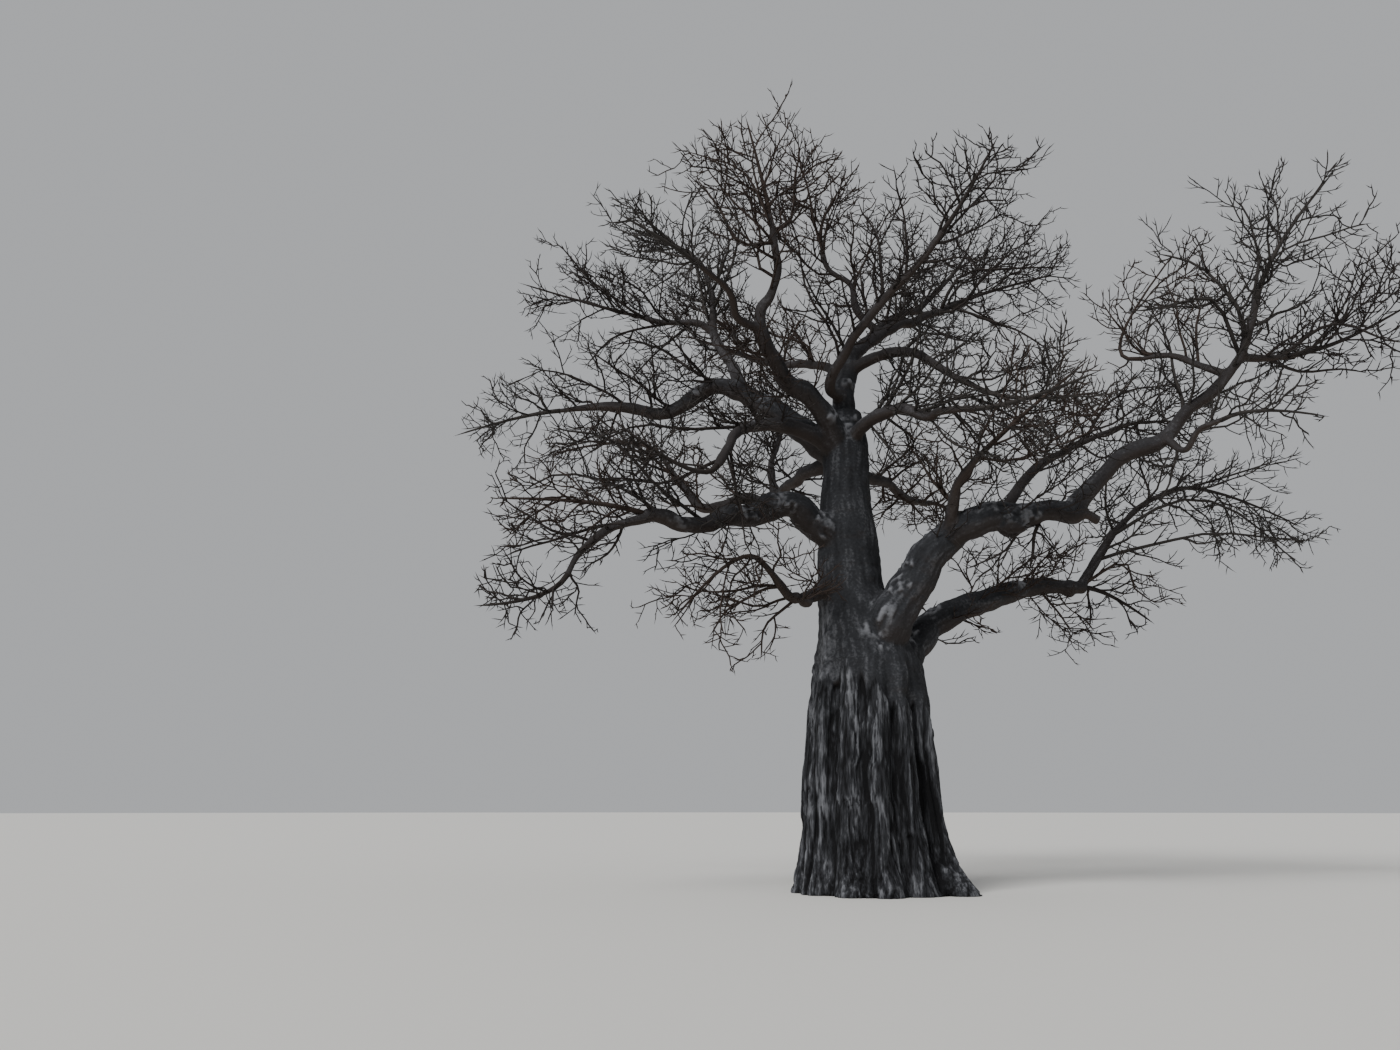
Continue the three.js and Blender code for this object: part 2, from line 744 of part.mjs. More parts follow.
// Trunk first, then each limb cut clear of the trunk and of the limbs before it, then the masses
addMesh("trunk", toSolid(trunkGeometry(0)), trunkBark);
let standing = toSolid(trunkGeometry(GAP));
for (const limb of LIMBS) {
  const { spine, radii } = grown.get(limb.name);
  addMesh(limb.name, largestBody(limbSolid(limb, spine, radii, 0).subtract(standing)), limbBark);
  standing = standing.add(limbSolid(limb, spine, radii, GAP));
}
for (const mass of masses) addMesh(mass.name, massSolid(mass), twigBark);

export default tree;
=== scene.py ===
"""Looks of a bare baobab tree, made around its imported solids.

The growth of trunk, limbs and twigs follows the same named sizes as the solids, in millimetres.
Headings are degrees from +X towards +Y, climbs are degrees up from level. Meshes are in metres.
"""

import logging
import math
from dataclasses import dataclass, field
from enum import Enum

import bpy
import numpy as np
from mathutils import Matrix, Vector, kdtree

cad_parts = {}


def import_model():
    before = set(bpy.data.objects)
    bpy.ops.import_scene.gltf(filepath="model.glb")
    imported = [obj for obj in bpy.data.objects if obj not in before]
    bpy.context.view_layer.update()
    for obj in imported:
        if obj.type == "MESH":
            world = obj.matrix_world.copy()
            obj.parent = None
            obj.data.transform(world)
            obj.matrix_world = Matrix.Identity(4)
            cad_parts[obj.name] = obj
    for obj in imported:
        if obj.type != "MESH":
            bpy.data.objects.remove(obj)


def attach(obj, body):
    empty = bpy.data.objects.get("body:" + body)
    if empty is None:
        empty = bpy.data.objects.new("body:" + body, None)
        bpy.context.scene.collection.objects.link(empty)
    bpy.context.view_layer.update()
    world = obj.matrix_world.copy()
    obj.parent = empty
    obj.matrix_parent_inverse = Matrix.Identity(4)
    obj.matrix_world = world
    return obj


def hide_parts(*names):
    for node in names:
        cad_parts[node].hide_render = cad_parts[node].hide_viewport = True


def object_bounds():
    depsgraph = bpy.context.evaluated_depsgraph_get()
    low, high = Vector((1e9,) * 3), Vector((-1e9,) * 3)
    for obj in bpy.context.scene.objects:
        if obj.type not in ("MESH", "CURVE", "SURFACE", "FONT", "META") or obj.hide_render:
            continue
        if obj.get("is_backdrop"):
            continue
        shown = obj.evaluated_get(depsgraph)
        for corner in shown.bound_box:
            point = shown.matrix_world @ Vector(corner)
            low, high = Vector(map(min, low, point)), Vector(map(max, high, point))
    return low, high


LOG = logging.getLogger("baobab")

# Added to a limb's number, to tell it from a mass's
LIMB_CODE = 100
# Millimetres to Blender's metres, and millimetres in one of those
MM = 0.001
METRE = 1000
UP = np.array([0.0, 0.0, 1.0])
GOLDEN_ANGLE = math.radians(137.5)
# Keeps a hash to 32 bits. The long odd numbers where it is used only scatter its bits
WORD = np.uint64(0xFFFFFFFF)
# Salts between repeated draws of one kind, and seeds between the children of two twigs
DRAW_STEP = 16
CHILD_STEP = 64
# Points by which a curve's length is measured
MEASURE_POINTS = 201
# How nearly a curve may start along X before its frames start from Y
NEAR_X = 0.8
# Marks that each point of the bark bears for its material, before the grain's place
MARKS = ("tone", "warm", "rough")
# Sockets of the maths and mix nodes that share their name with another one
FACTOR = 1
ADDEND = 2
MIX_NUMBERS = (2, 3)
MIX_COLOURS = (6, 7)
MIX_COLOUR_OUT = 2

Array = np.ndarray
Pair = tuple[float, float]
Socket = bpy.types.NodeSocket


def linear(hex_colour: str) -> tuple[float, float, float, float]:
    """Turns an sRGB hex colour into the linear colour that a shader socket takes.

    Args:
        hex_colour: Six hex digits after a hash, such as "#5b5650".

    Returns:
        Linear red, green and blue, with an alpha of 1.
    """
    shares = [int(hex_colour[i : i + 2], 16) / 255 for i in (1, 3, 5)]
    lit = [c / 12.92 if c <= 0.04045 else ((c + 0.055) / 1.055) ** 2.4 for c in shares]
    return (lit[0], lit[1], lit[2], 1.0)


def add_node(
    tree: bpy.types.NodeTree,
    kind: str,
    settings: dict[str | int, object] | None = None,
    links: dict[str | int, Socket] | None = None,
) -> bpy.types.Node:
    """Adds one node to a tree, with its settings and the links that come into it.

    Args:
        tree: The material's or world's node tree.
        kind: Blender's name for the node's type.
        settings: Values by property name, input name or input number.
        links: Output sockets by the name or number of the input that each one feeds.

    Returns:
        The new node.
    """
    node = tree.nodes.new(kind)
    for key, value in (settings or {}).items():
        if isinstance(key, str) and hasattr(node, key):
            setattr(node, key, value)
        else:
            node.inputs[key].default_value = value
    for key, output in (links or {}).items():
        tree.links.new(output, node.inputs[key])
    return node


def smooth_share(value: Array, low: float, high: float) -> Array:
    """Eases from 0 where the values are low to 1 where they are high."""
    share = np.clip((value - low) / (high - low), 0, 1)
    return share * share * (3 - 2 * share)


def stirred(word: Array, shift: int, key: int) -> Array:
    """Folds the high bits of 32-bit hashes into their low ones and multiplies them by a key."""
    return (word ^ (word >> np.uint64(shift))) * np.uint64(key) & WORD


def lattice_noise(points: Array, seed: int) -> Array:
    """Smooth value noise from a hashed lattice, the same on every run.

    Args:
        points: Places, one row each.
        seed: Which noise.

    Returns:
        A value from -1 to 1 at each place.
    """
    cell = np.floor(points).astype(np.int64)
    part = points - cell
    ease = part * part * part * (part * (part * 6 - 15) + 10)
    total = np.zeros(len(points))
    for corner in range(8):
        step = np.array([corner & 1, (corner >> 1) & 1, (corner >> 2) & 1])
        place = (cell + step).astype(np.uint64)
        mixed = place[:, 0] * np.uint64(0x9E3779B1) ^ place[:, 1] * np.uint64(0x85EBCA77)
        mixed ^= place[:, 2] * np.uint64(0xC2B2AE3D) ^ np.uint64(seed * 0x27D4EB2F)
        mixed = stirred(stirred(mixed & WORD, 15, 0x2C1B3C6D), 12, 0x297A2D39)
        value = (mixed ^ (mixed >> np.uint64(15))) / 2.0**31 - 1
        weight = np.prod(np.where(step == 1, ease, 1 - ease), axis=1)
        total += value * weight
    return total


def layered_noise(points: Array, seed: int, layers: int) -> Array:
    """Noise in layers, each twice as fine and half as strong as the one before.

    Args:
        points: Places, one row each.
        seed: Which noise.
        layers: How many layers.

    Returns:
        A value of about -1 to 1 at each place.
    """
    total = np.zeros(len(points))
    strength = 0.0
    for layer in range(layers):
        share = 0.5**layer
        total += lattice_noise(points * 2.0**layer, seed + layer) * share
        strength += share
    return total / strength


@dataclass(frozen=True)
class Space:
    """The ellipsoid that a mass of twigs fills, from just behind its limb's tip."""

    heading: float
    climb: float
    reach: float
    spread: float
    rise: float


@dataclass(frozen=True)
class Limb:
    """One bough: what it leaves and where, its radius at foot and tip, and its legs.

    The foot is a height on the trunk, or a share of another limb's length. A leg is a length, a
    heading and a climb.
    """

    name: str
    carrier: str
    foot: float
    girth: Pair
    legs: tuple[tuple[float, float, float], ...]
    twigs: Space | None = None


# The limbs, in the order in which they grow
LIMBS = (
    Limb("right_main", "trunk", 3900, (490, 190),
         ((1950, -49, 63), (1350, -15, 54), (950, -18, 30), (1900, -11, 4), (550, -6, -22))),
    Limb("right_low", "trunk", 3900, (370, 130),
         ((2000, 16, 43), (1450, 18, 28), (1600, 19, 16), (1250, 19, 2)),
         Space(12, -25, 1900, 1000, 800)),
    Limb("left_low", "trunk", 6900, (330, 120),
         ((1500, -157, 32), (800, -157, -12), (1700, -154, -17), (550, -153, 10), (500, -149, 4)),
         Space(-170, 3, 3000, 1500, 1200)),
    Limb("left_mid", "trunk", 8900, (320, 60),
         ((1300, 162, 41), (1250, 155, 40), (1200, 158, 22), (1050, 168, -25), (600, 170, -1),
          (900, 173, 10), (1300, 171, -1)),
         Space(176, -13, 2600, 1600, 1100)),
    Limb("left_front", "trunk", 9000, (260, 140),
         ((1450, -136, 43), (800, -150, 27), (650, -135, 41), (650, -133, 59))),
    Limb("leader", "trunk", 9400, (270, 175),
         ((1150, 94, 85), (1100, 37, 72))),
    Limb("left_elbow", "trunk", 9100, (200, 75),
         ((1350, -149, 11), (1600, -140, -12), (800, -116, -45), (700, -123, -48)),
         Space(-150, 15, 2500, 1500, 1200)),
    Limb("left_small", "trunk", 6400, (165, 60),
         ((1550, -144, -28), (600, -137, 18), (700, -136, 36)),
         Space(-170, -35, 2300, 1400, 1100)),
    Limb("cross_front", "trunk", 9200, (150, 60),
         ((1050, -63, 17), (850, -58, -4), (900, -59, -27), (450, -65, -1), (1050, -65, -17)),
         Space(-62, -6, 3000, 1900, 1400)),
    Limb("back_left", "trunk", 9000, (160, 70),
         ((1800, 118, 0), (1850, 103, 5), (1450, 92, 46), (1550, 73, 47)),
         Space(110, 28, 3000, 2000, 1600)),
    Limb("back_low", "trunk", 8600, (150, 65),
         ((2150, 58, 9), (2050, 60, 2), (1400, 59, 11)),
         Space(60, 3, 3000, 1900, 1400)),
    Limb("right_rise", "right_main", 0.91, (185, 75),
         ((1050, -5, 48), (800, -18, 34), (600, -10, 19), (800, -16, 48), (750, -14, 37),
          (950, -22, 55), (950, -38, 70)),
         Space(-14, 56, 3300, 1700, 1400)),
    Limb("right_end", "right_rise", 0.79, (90, 55),
         ((900, 15, 5), (1200, 20, 17)),
         Space(10, 27, 3200, 1900, 1700)),
    Limb("right_in", "right_rise", 0.72, (80, 50),
         ((1150, 146, 33), (650, 142, 9)),
         Space(10, 64, 3300, 1500, 1300)),
    Limb("right_under", "right_rise", 0.42, (90, 50),
         ((700, -69, -42), (500, -70, 34), (500, -55, 9)),
         Space(-20, -6, 1800, 1200, 1000)),
    Limb("right_back", "right_main", 0.71, (120, 55),
         ((1800, 38, 45), (1900, 37, 28), (1600, 33, 25)),
         Space(25, 12, 2700, 1600, 1300)),
    Limb("right_inner", "right_main", 0.54, (130, 60),
         ((900, -84, 51), (550, -83, 40), (750, -59, 25)),
         Space(-42, 30, 2600, 1600, 1300)),
    Limb("right_low_rise", "right_low", 0.98, (112, 60),
         ((1000, 12, 53), (750, 18, 51), (1000, 19, 40), (950, 21, 28)),
         Space(5, -14, 3600, 1700, 1600)),
    Limb("left_low_out", "left_low", 0.96, (105, 60),
         ((700, -152, -22), (500, -152, -32), (550, -159, -43), (550, -145, -61)),
         Space(-168, -20, 1800, 1300, 950)),
    Limb("left_low_fork", "left_low", 0.34, (145, 60),
         ((1000, 148, 20), (1000, 156, -3), (700, 143, 46), (1200, 138, 51)),
         Space(165, 5, 2900, 1700, 1300)),
    Limb("left_rise", "left_mid", 0.39, (140, 60),
         ((1350, 117, 56), (1000, 131, 59), (1200, 96, 70), (1050, 110, 66)),
         Space(168, 34, 3000, 1800, 1400)),
    Limb("left_rise_out", "left_rise", 0.51, (95, 50),
         ((550, 166, 38), (800, 173, 5), (1100, 180, 14)),
         Space(178, 18, 2800, 1700, 1200)),
    Limb("top", "left_front", 0.97, (120, 60),
         ((400, -67, 77), (350, -13, 52), (600, -18, 74), (500, -139, 81), (850, 137, 80)),
         Space(150, 78, 2700, 1700, 1850)),
    Limb("top_left", "left_front", 0.96, (95, 55),
         ((650, -138, 6), (550, -108, 38), (1050, -129, 11)),
         Space(-145, 15, 2000, 1500, 1200)),
    Limb("leader_right", "leader", 0.93, (155, 75),
         ((1250, 34, 40), (1300, 38, 29), (1250, 34, 29), (750, 40, 31)),
         Space(14, 22, 3300, 2000, 1500)),
    Limb("crook", "leader_right", 0.27, (90, 55),
         ((850, 169, 51), (700, 129, 79), (750, 169, 45), (650, 139, 77)),
         Space(20, 70, 1900, 1500, 1400)),
    Limb("leader_low", "leader", 0.73, (135, 55),
         ((850, -28, 17), (800, -39, -9), (1050, -49, -42), (1000, -39, -38)),
         Space(-25, -10, 2400, 1400, 1100)),
    Limb("front_high", "leader", 0.43, (120, 60),
         ((800, -119, -2), (650, -66, 47), (1400, -37, 45), (1300, -29, 40), (650, -33, 46)),
         Space(-38, 52, 2200, 1500, 1200)),
    Limb("back_mid", "leader", 0.63, (135, 65),
         ((1800, 103, 33), (2050, 124, 21), (1900, 122, 29)),
         Space(125, 30, 3000, 2000, 1600)),
    Limb("back_right", "leader", 0.85, (125, 60),
         ((2500, 52, 42), (1950, 46, 31), (1750, 44, 43)),
         Space(60, 40, 2900, 2100, 1800)),
)


@dataclass(frozen=True)
class Branch:
    """A long branch: its limb, the share along it, its radius at foot and tip, and its legs."""

    limb: str
    foot: float
    girth: Pair
    legs: tuple[tuple[float, float, float], ...]


# The long branches that the photo shows between the limbs' tips
BRANCHES = (
    Branch("left_rise_out", 0.25, (38, 14), ((1400, -154, -48), (1200, -158, -48))),
    Branch("left_rise_out", 0.45, (40, 16), ((1450, 168, -11), (1150, 161, -37))),
    Branch("left_rise_out", 0.75, (38, 15), ((1350, -160, 30), (1650, -162, 39))),
    Branch("left_rise_out", 0.9, (34, 14), ((1200, 159, 18), (1750, 166, 18))),
    Branch("left_mid", 0.38, (48, 18), ((1700, 164, 35), (1150, 148, 35), (1350, 155, 27))),
    Branch("left_mid", 0.5, (38, 14), ((950, -130, 34), (750, -149, 40))),
    Branch("left_mid", 0.62, (42, 16), ((1250, -154, 25), (1250, -154, 23))),
    Branch("left_mid", 0.78, (40, 15), ((1400, -166, 28), (1100, -169, 7))),
    Branch("left_rise", 0.5, (44, 17), ((2500, 147, 73), (1300, 159, 30), (1450, 161, 31))),
    Branch("left_rise", 0.68, (42, 16), ((1600, -35, 65), (850, -70, 76), (950, -151, 50))),
    Branch("left_front", 0.8, (38, 14), ((750, -137, -7), (700, -154, -2))),
    Branch("top_left", 0.75, (38, 15), ((1200, -162, 36), (800, -161, 39), (400, -133, 49))),
    Branch("top", 0.72, (44, 16), ((750, -164, -11), (750, -166, 56), (950, -159, 53))),
    Branch("top", 0.85, (40, 15), ((700, 36, 45), (1400, 42, 78), (900, 80, 77))),
    Branch("top", 0.97, (28, 11), ((1150, -159, 69), (950, 8, 71), (350, 0, 69))),
    Branch("top", 0.82, (28, 11), ((1400, -160, 65), (800, -165, 20), (700, -172, 10))),
    Branch("crook", 0.5, (38, 15), ((1250, 33, 64), (1250, 21, 64))),
    Branch("crook", 0.85, (40, 15), ((1100, -143, 73), (1200, -164, 73), (750, -51, 80))),
    Branch("front_high", 0.62, (42, 16), ((1750, 80, 80), (1150, 144, 64))),
    Branch("front_high", 0.75, (36, 14), ((1100, -100, 74), (750, -127, 70))),
    Branch("front_high", 0.85, (34, 13), ((1750, 0, 47), (1000, 12, 61), (1200, 91, 80))),
    Branch("front_high", 0.95, (30, 13), ((1500, -20, 54), (1350, -9, 8))),
    Branch("leader", 0.85, (44, 17), ((900, -125, 48), (700, -147, 40), (900, -138, 59))),
    Branch("leader_low", 0.4, (38, 14), ((1100, -132, -61), (750, -142, -49))),
    Branch("leader_right", 0.3, (40, 15), ((1900, 44, 72), (1950, 50, 71))),
    Branch("leader_right", 0.8, (46, 17), ((1150, -26, 54), (1050, -16, 3), (1350, -13, -10))),
    Branch("leader_right", 0.9, (42, 16), ((1000, -28, -30), (1050, -26, -29), (1000, -25, -46))),
    Branch("back_right", 0.45, (44, 17), ((1000, 47, 48), (1600, 86, 72))),
    Branch("back_mid", 0.4, (44, 17), ((850, 122, 65), (950, 150, 29), (1250, 146, 55))),
    Branch("back_mid", 0.7, (38, 14), ((1350, -113, 66), (1000, -156, 5))),
    Branch("back_low", 0.3, (38, 14), ((1150, 27, 40), (1300, 34, 46))),
    Branch("cross_front", 0.12, (52, 16), ((1200, -40, 38), (1050, -26, 64), (1450, -18, 77))),
    Branch("cross_front", 0.2, (34, 13), ((650, -32, -54), (700, -39, -62))),
    Branch("cross_front", 0.32, (36, 14), ((850, 25, -33), (550, 111, -55))),
    Branch("cross_front", 0.4, (40, 15), ((1200, -19, 40), (900, -26, 40))),
    Branch("cross_front", 0.55, (46, 16), ((1150, 17, 20), (1100, 21, -6), (1450, 22, -18))),
    Branch("left_elbow", 0.55, (44, 16), ((1450, -164, -8), (1050, -163, 0), (1150, -162, -32))),
    Branch("left_low", 0.72, (46, 17), ((1400, -160, 34), (1250, -163, 36), (1200, -165, 10))),
    Branch("left_low", 0.88, (44, 16), ((1600, 166, 37), (1100, 169, 14), (1150, 169, -30))),
    Branch("left_low_out", 0.15, (44, 16), ((800, 158, -8), (1150, 170, -13), (1050, 168, -15))),
    Branch("left_small", 0.6, (36, 14), ((850, -162, -41), (750, -143, -77))),
    Branch("left_small", 0.78, (36, 14), ((1100, -162, -25), (850, -158, -50))),
    Branch("right_main", 0.78, (36, 15), ((1050, -144, -49), (1000, -161, -25))),
    Branch("right_main", 0.83, (48, 22), ((1300, -165, -73),)),
    Branch("right_low", 0.55, (34, 14), ((1400, -16, 38), (650, -32, 25))),
    Branch("right_low", 0.7, (32, 13), ((1150, 28, 43), (800, 26, 31))),
    Branch("right_low", 0.8, (34, 14), ((800, -28, -58), (550, -19, -57))),
    Branch("right_low", 0.97, (42, 14), ((1150, -18, 29), (750, -59, -72), (600, -13, -39))),
    Branch("right_inner", 0.35, (38, 14), ((1000, 148, 55), (950, 127, 58))),
    Branch("right_low_rise", 0.22, (46, 15), ((1850, -16, 14), (1400, -21, -9), (1450, -16, -4))),
    Branch("right_low_rise", 0.42, (46, 15), ((1700, -15, 24), (1500, -17, -24), (1500, -23, -47))),
    Branch("right_low_rise", 0.9, (40, 15), ((1900, 6, 17), (1800, 10, 20))),
    Branch("right_back", 0.75, (40, 15), ((1550, 16, 46), (1800, 14, 21))),
    Branch("right_rise", 0.52, (46, 17), ((1350, 82, 72), (1100, 93, 74))),
    Branch("right_rise", 0.8, (46, 16), ((1200, -139, 51), (1200, -160, -13), (1150, -159, -15))),
    Branch("right_rise", 0.84, (50, 17), ((950, 180, 80), (1050, 142, 62), (1000, 160, 31))),
    Branch("right_rise", 0.95, (42, 16), ((2250, 41, 78), (900, 143, 68))),
    Branch("right_end", 0.3, (40, 16), ((950, 19, -8), (1650, 11, 2))),
    Branch("right_end", 0.55, (44, 16), ((1100, -19, 31), (1300, -25, -28))),
)


def direction(heading: float, climb: float) -> Array:
    """Unit vector of a heading and a climb, both in degrees."""
    turn, lift = math.radians(heading), math.radians(climb)
    return np.array([math.cos(turn) * math.cos(lift), math.sin(turn) * math.cos(lift), math.sin(lift)])


def turned_from(turn: Array, heading: float) -> Array:
    """Turns, from -pi to pi, from one heading in degrees to headings in radians."""
    away = turn - math.radians(heading)
    return np.arctan2(np.sin(away), np.cos(away))


def near_heading(turn: Array, heading: float, half_angle: float) -> Array:
    """Shares that fall from 1 at a heading to about a third at half_angle degrees from it."""
    return np.exp(-((turned_from(turn, heading) / math.radians(half_angle)) ** 2))


def unit(vectors: Array) -> Array:
    """Vectors scaled to length 1 along their last axis."""
    length = np.linalg.norm(vectors, axis=-1, keepdims=True)
    return vectors / np.maximum(length, 1e-9)


def smooth_path(corners: Array, places: Array) -> Array:
    """Points on the smooth curve through a limb's corners.

    Args:
        corners: The corners, in millimetres.
        places: Shares of the curve's own parameter, from 0 to 1.

    Returns:
        One point for each place.
    """
    padded = np.vstack([2 * corners[0] - corners[1], corners, 2 * corners[-1] - corners[-2]])
    legs = len(corners) - 1
    leg = np.minimum((places * legs).astype(int), legs - 1)
    t = (places * legs - leg)[:, None]
    before, start, end, after = (padded[leg + k] for k in range(4))
    leave, arrive = 0.5 * (end - before), 0.5 * (after - start)
    cubic = 2 * start - 2 * end + leave + arrive
    square = -3 * start + 3 * end - 2 * leave - arrive
    return start + leave * t + square * t * t + cubic * t**3


def travelled_along(spine: Array) -> Array:
    """How far each point of a curve lies from its start, measured along it."""
    return np.concatenate([[0], np.cumsum(np.linalg.norm(np.diff(spine, axis=0), axis=1))])


def even_path(corners: Array, steps: int) -> Array:
    """Points at even distances along the smooth curve through a limb's corners.

    Args:
        corners: The corners, in millimetres.
        steps: How many stretches the points bound.

    Returns:
        steps + 1 points.
    """
    places = np.linspace(0, 1, MEASURE_POINTS)
    along = travelled_along(smooth_path(corners, places))
    wanted = np.linspace(0, along[-1], steps + 1)
    return smooth_path(corners, np.interp(wanted, along, places))


@dataclass
class TrunkShape:
    """The trunk: stations of height, lean and radius, with flutes, lobes and root toes."""

    stations: tuple[tuple[float, float, float], ...] = (
        (0, -60, 1500), (450, -90, 1420), (1200, -110, 1340), (2300, -120, 1270),
        (3500, -90, 1170), (4500, -70, 1060), (5200, -210, 850), (6000, -340, 690),
        (6800, -380, 640), (8000, -395, 540), (9200, -370, 470), (10000, -320, 320),
    )
    flutes: int = 12
    flute_depth: float = 75
    flute_fade: Pair = (3600, 5400)
    lobes: int = 5
    lobe_depth: float = 45
    lobe_turn: float = 1
    # Heading, extra reach at the ground, half angle, and the height over which each dies away
    toes: tuple[tuple[float, float, float, float], ...] = (
        (-32, 520, 17, 620), (40, 260, 22, 700), (118, 330, 20, 650), (190, 170, 24, 600),
        (250, 240, 20, 560),
    )

    def height(self) -> float:
        """Height of the trunk's top."""
        return self.stations[-1][0]

    def body(self, height: Array | float) -> tuple[Array, Array]:
        """Lean along X and radius of the trunk's body at one height or many, in millimetres."""
        levels, leans, radii = np.array(self.stations).T
        return np.interp(height, levels, leans), np.interp(height, levels, radii)

    def radius(self, angle: Array, height: Array) -> Array:
        """Radius of the trunk with its flutes, lobes and toes.

        Args:
            angle: Angles round the trunk from +X towards +Y.
            height: Height of each one, in millimetres.

        Returns:
            A radius for each angle.
        """
        fade = 1 - smooth_share(height, *self.flute_fade)
        total = self.body(height)[1] + self.flute_depth * np.cos(self.flutes * angle) * fade
        total = total + self.lobe_depth * np.cos(self.lobes * angle + self.lobe_turn) * fade
        for heading, reach, half_angle, rise in self.toes:
            total = total + reach * near_heading(angle, heading, half_angle) * np.exp(-height / rise)
        return total


@dataclass
class LimbPath:
    """Where a limb runs: the points of its solid, and finer ones for its skin."""

    spine: Array
    radii: Array
    fine_spine: Array
    fine_radii: Array


@dataclass(frozen=True)
class LimbNoise:
    """Noise along the limbs: its length, the lattice rows from one limb to the next, its seed."""

    length: float
    rows: Pair
    seed: int

    def at(self, travelled: Array, limb: int) -> Array:
        """The noise at distances along the limb of a number."""
        columns = [travelled / self.length, *(0 * travelled + row * limb for row in self.rows)]
        return lattice_noise(np.stack(columns, -1), self.seed)


@dataclass
class Growth:
    """All limbs, each rooted on its carrier."""

    trunk: TrunkShape
    ring_step: float = 700
    least_rings: int = 3
    fine_step: float = 80
    least_fine_rings: int = 12
    # How far a limb's skin strays from its even middle line: a distance and a share of its radius
    stray: Pair = (16, 0.2)
    stray_noises: tuple[LimbNoise, LimbNoise] = (
        LimbNoise(520, (7.3, 0), 61), LimbNoise(520, (0, 5.7), 62),
    )
    # Where the straying sets in, and how far before the tip it dies away
    stray_start: Pair = (200, 900)
    stray_end: float = 500
    # Its knots, coarse and fine, as shares of its radius, and where they are full
    knots: Pair = (0.13, 0.08)
    knot_noises: tuple[LimbNoise, LimbNoise] = (
        LimbNoise(430, (3.1, 0), 63), LimbNoise(170, (2.3, 0), 64),
    )
    knot_start: float = 700
    # Radius from which on knots grow weaker, and the least share of them
    knot_radius: float = 150
    knot_least: float = 0.3
    collar_swell: float = 0.35
    collar_length: float = 1.3
    carrier_share: float = 0.92
    paths: dict[str, LimbPath] = field(default_factory=dict)

    def grow(self) -> dict[str, LimbPath]:
        """Grows every limb in turn.

        Returns:
            The limbs' paths by name.
        """
        for limb in LIMBS:
            point, carrier_radius = self.foot(limb)
            corners = [point]
            for length, heading, climb in limb.legs:
                corners.append(corners[-1] + length * direction(heading, climb))
            total = sum(leg[0] for leg in limb.legs)
            steps = max(self.least_rings, int(total / self.ring_step + 0.5))
            spine = even_path(np.array(corners), steps)
            fine_steps = max(self.least_fine_rings, int(total / self.fine_step))
            fine = even_path(np.array(corners), fine_steps)
            fine_radii = self.radii(limb, fine, carrier_radius)
            self.paths[limb.name] = LimbPath(
                spine,
                self.radii(limb, spine, carrier_radius),
                *self.gnarled(fine, fine_radii, len(self.paths)),
            )
        return self.paths

    def gnarled(
        self, spine: Array, radii: Array, limb: int
    ) -> tuple[Array, Array]:
        """Crooks a limb's middle line a little and gives it knots, but not at its two ends.

        Args:
            spine: Its points.
            radii: Its radii.
            limb: Its number.

        Returns:
            The moved points and the changed radii.
        """
        travelled = travelled_along(spine)
        held = smooth_share(travelled, *self.stray_start)
        held = held * smooth_share(travelled[-1] - travelled, 0, self.stray_end)
        side, over = (part[0] for part in frames(spine[None]))
        reach = (self.stray[0] + self.stray[1] * radii) * held
        first, second = (noise.at(travelled, limb) for noise in self.stray_noises)
        moved = spine + side * (first * reach)[:, None] + over * (second * reach)[:, None]
        coarse, fine = (noise.at(travelled, limb) for noise in self.knot_noises)
        swell = self.knots[0] * coarse + self.knots[1] * fine
        swell = swell * np.clip(self.knot_radius / radii, self.knot_least, 1)
        return moved, radii * (1 + swell * smooth_share(travelled, 0, self.knot_start))

    def foot(self, limb: Limb) -> tuple[Array, float]:
        """Finds where a limb starts on its carrier's middle line.

        Args:
            limb: The limb.

        Returns:
            The point and the carrier's radius there.
        """
        if limb.carrier == "trunk":
            lean, radius = self.trunk.body(limb.foot)
            return np.array([lean, 0, limb.foot]), float(radius)
        path = self.paths[limb.carrier]
        place = limb.foot * (len(path.spine) - 1)
        rings = np.arange(len(path.spine))
        point = np.array([np.interp(place, rings, path.spine[:, k]) for k in range(3)])
        return point, float(np.interp(place, rings, path.radii))

    def radii(self, limb: Limb, spine: Array, carrier_radius: float) -> Array:
        """Radius at each point of a limb, with the collar where it leaves its carrier.

        Args:
            limb: The limb.
            spine: Its points.
            carrier_radius: Radius of its carrier at its foot.

        Returns:
            One radius for each point.
        """
        travelled = travelled_along(spine)
        taper = np.linspace(limb.girth[0], limb.girth[1], len(spine))
        swell = np.exp(-travelled / (carrier_radius * self.collar_length))
        most = np.where(travelled < carrier_radius, carrier_radius * self.carrier_share, np.inf)
        return np.minimum(taper * (1 + self.collar_swell * swell), most)


@dataclass
class Twigs:
    """Twigs of one order: owner, points, radii and seed of each."""

    owner: Array
    spine: Array
    radii: Array
    seed: Array

    def at(self, share: Array) -> tuple[Array, Array, Array]:
        """A place on every twig.

        Args:
            share: How far along each twig, from 0 to 1.

        Returns:
            The points, the ways the twigs run there, and their radii.
        """
        last = self.spine.shape[1] - 1
        ring = np.minimum((share * last).astype(int), last - 1)
        part = share * last - ring
        rows = np.arange(len(self.spine))
        start, end = self.spine[rows, ring], self.spine[rows, ring + 1]
        radius = self.radii[rows, ring] * (1 - part) + self.radii[rows, ring + 1] * part
        return start + (end - start) * part[:, None], unit(end - start), radius

    def lengths(self) -> Array:
        """Length of every twig."""
        return np.linalg.norm(np.diff(self.spine, axis=1), axis=2).sum(axis=1)

    def chosen(self, keep: Array) -> "Twigs":
        """The twigs that a mask keeps."""
        return Twigs(self.owner[keep], self.spine[keep], self.radii[keep], self.seed[keep])


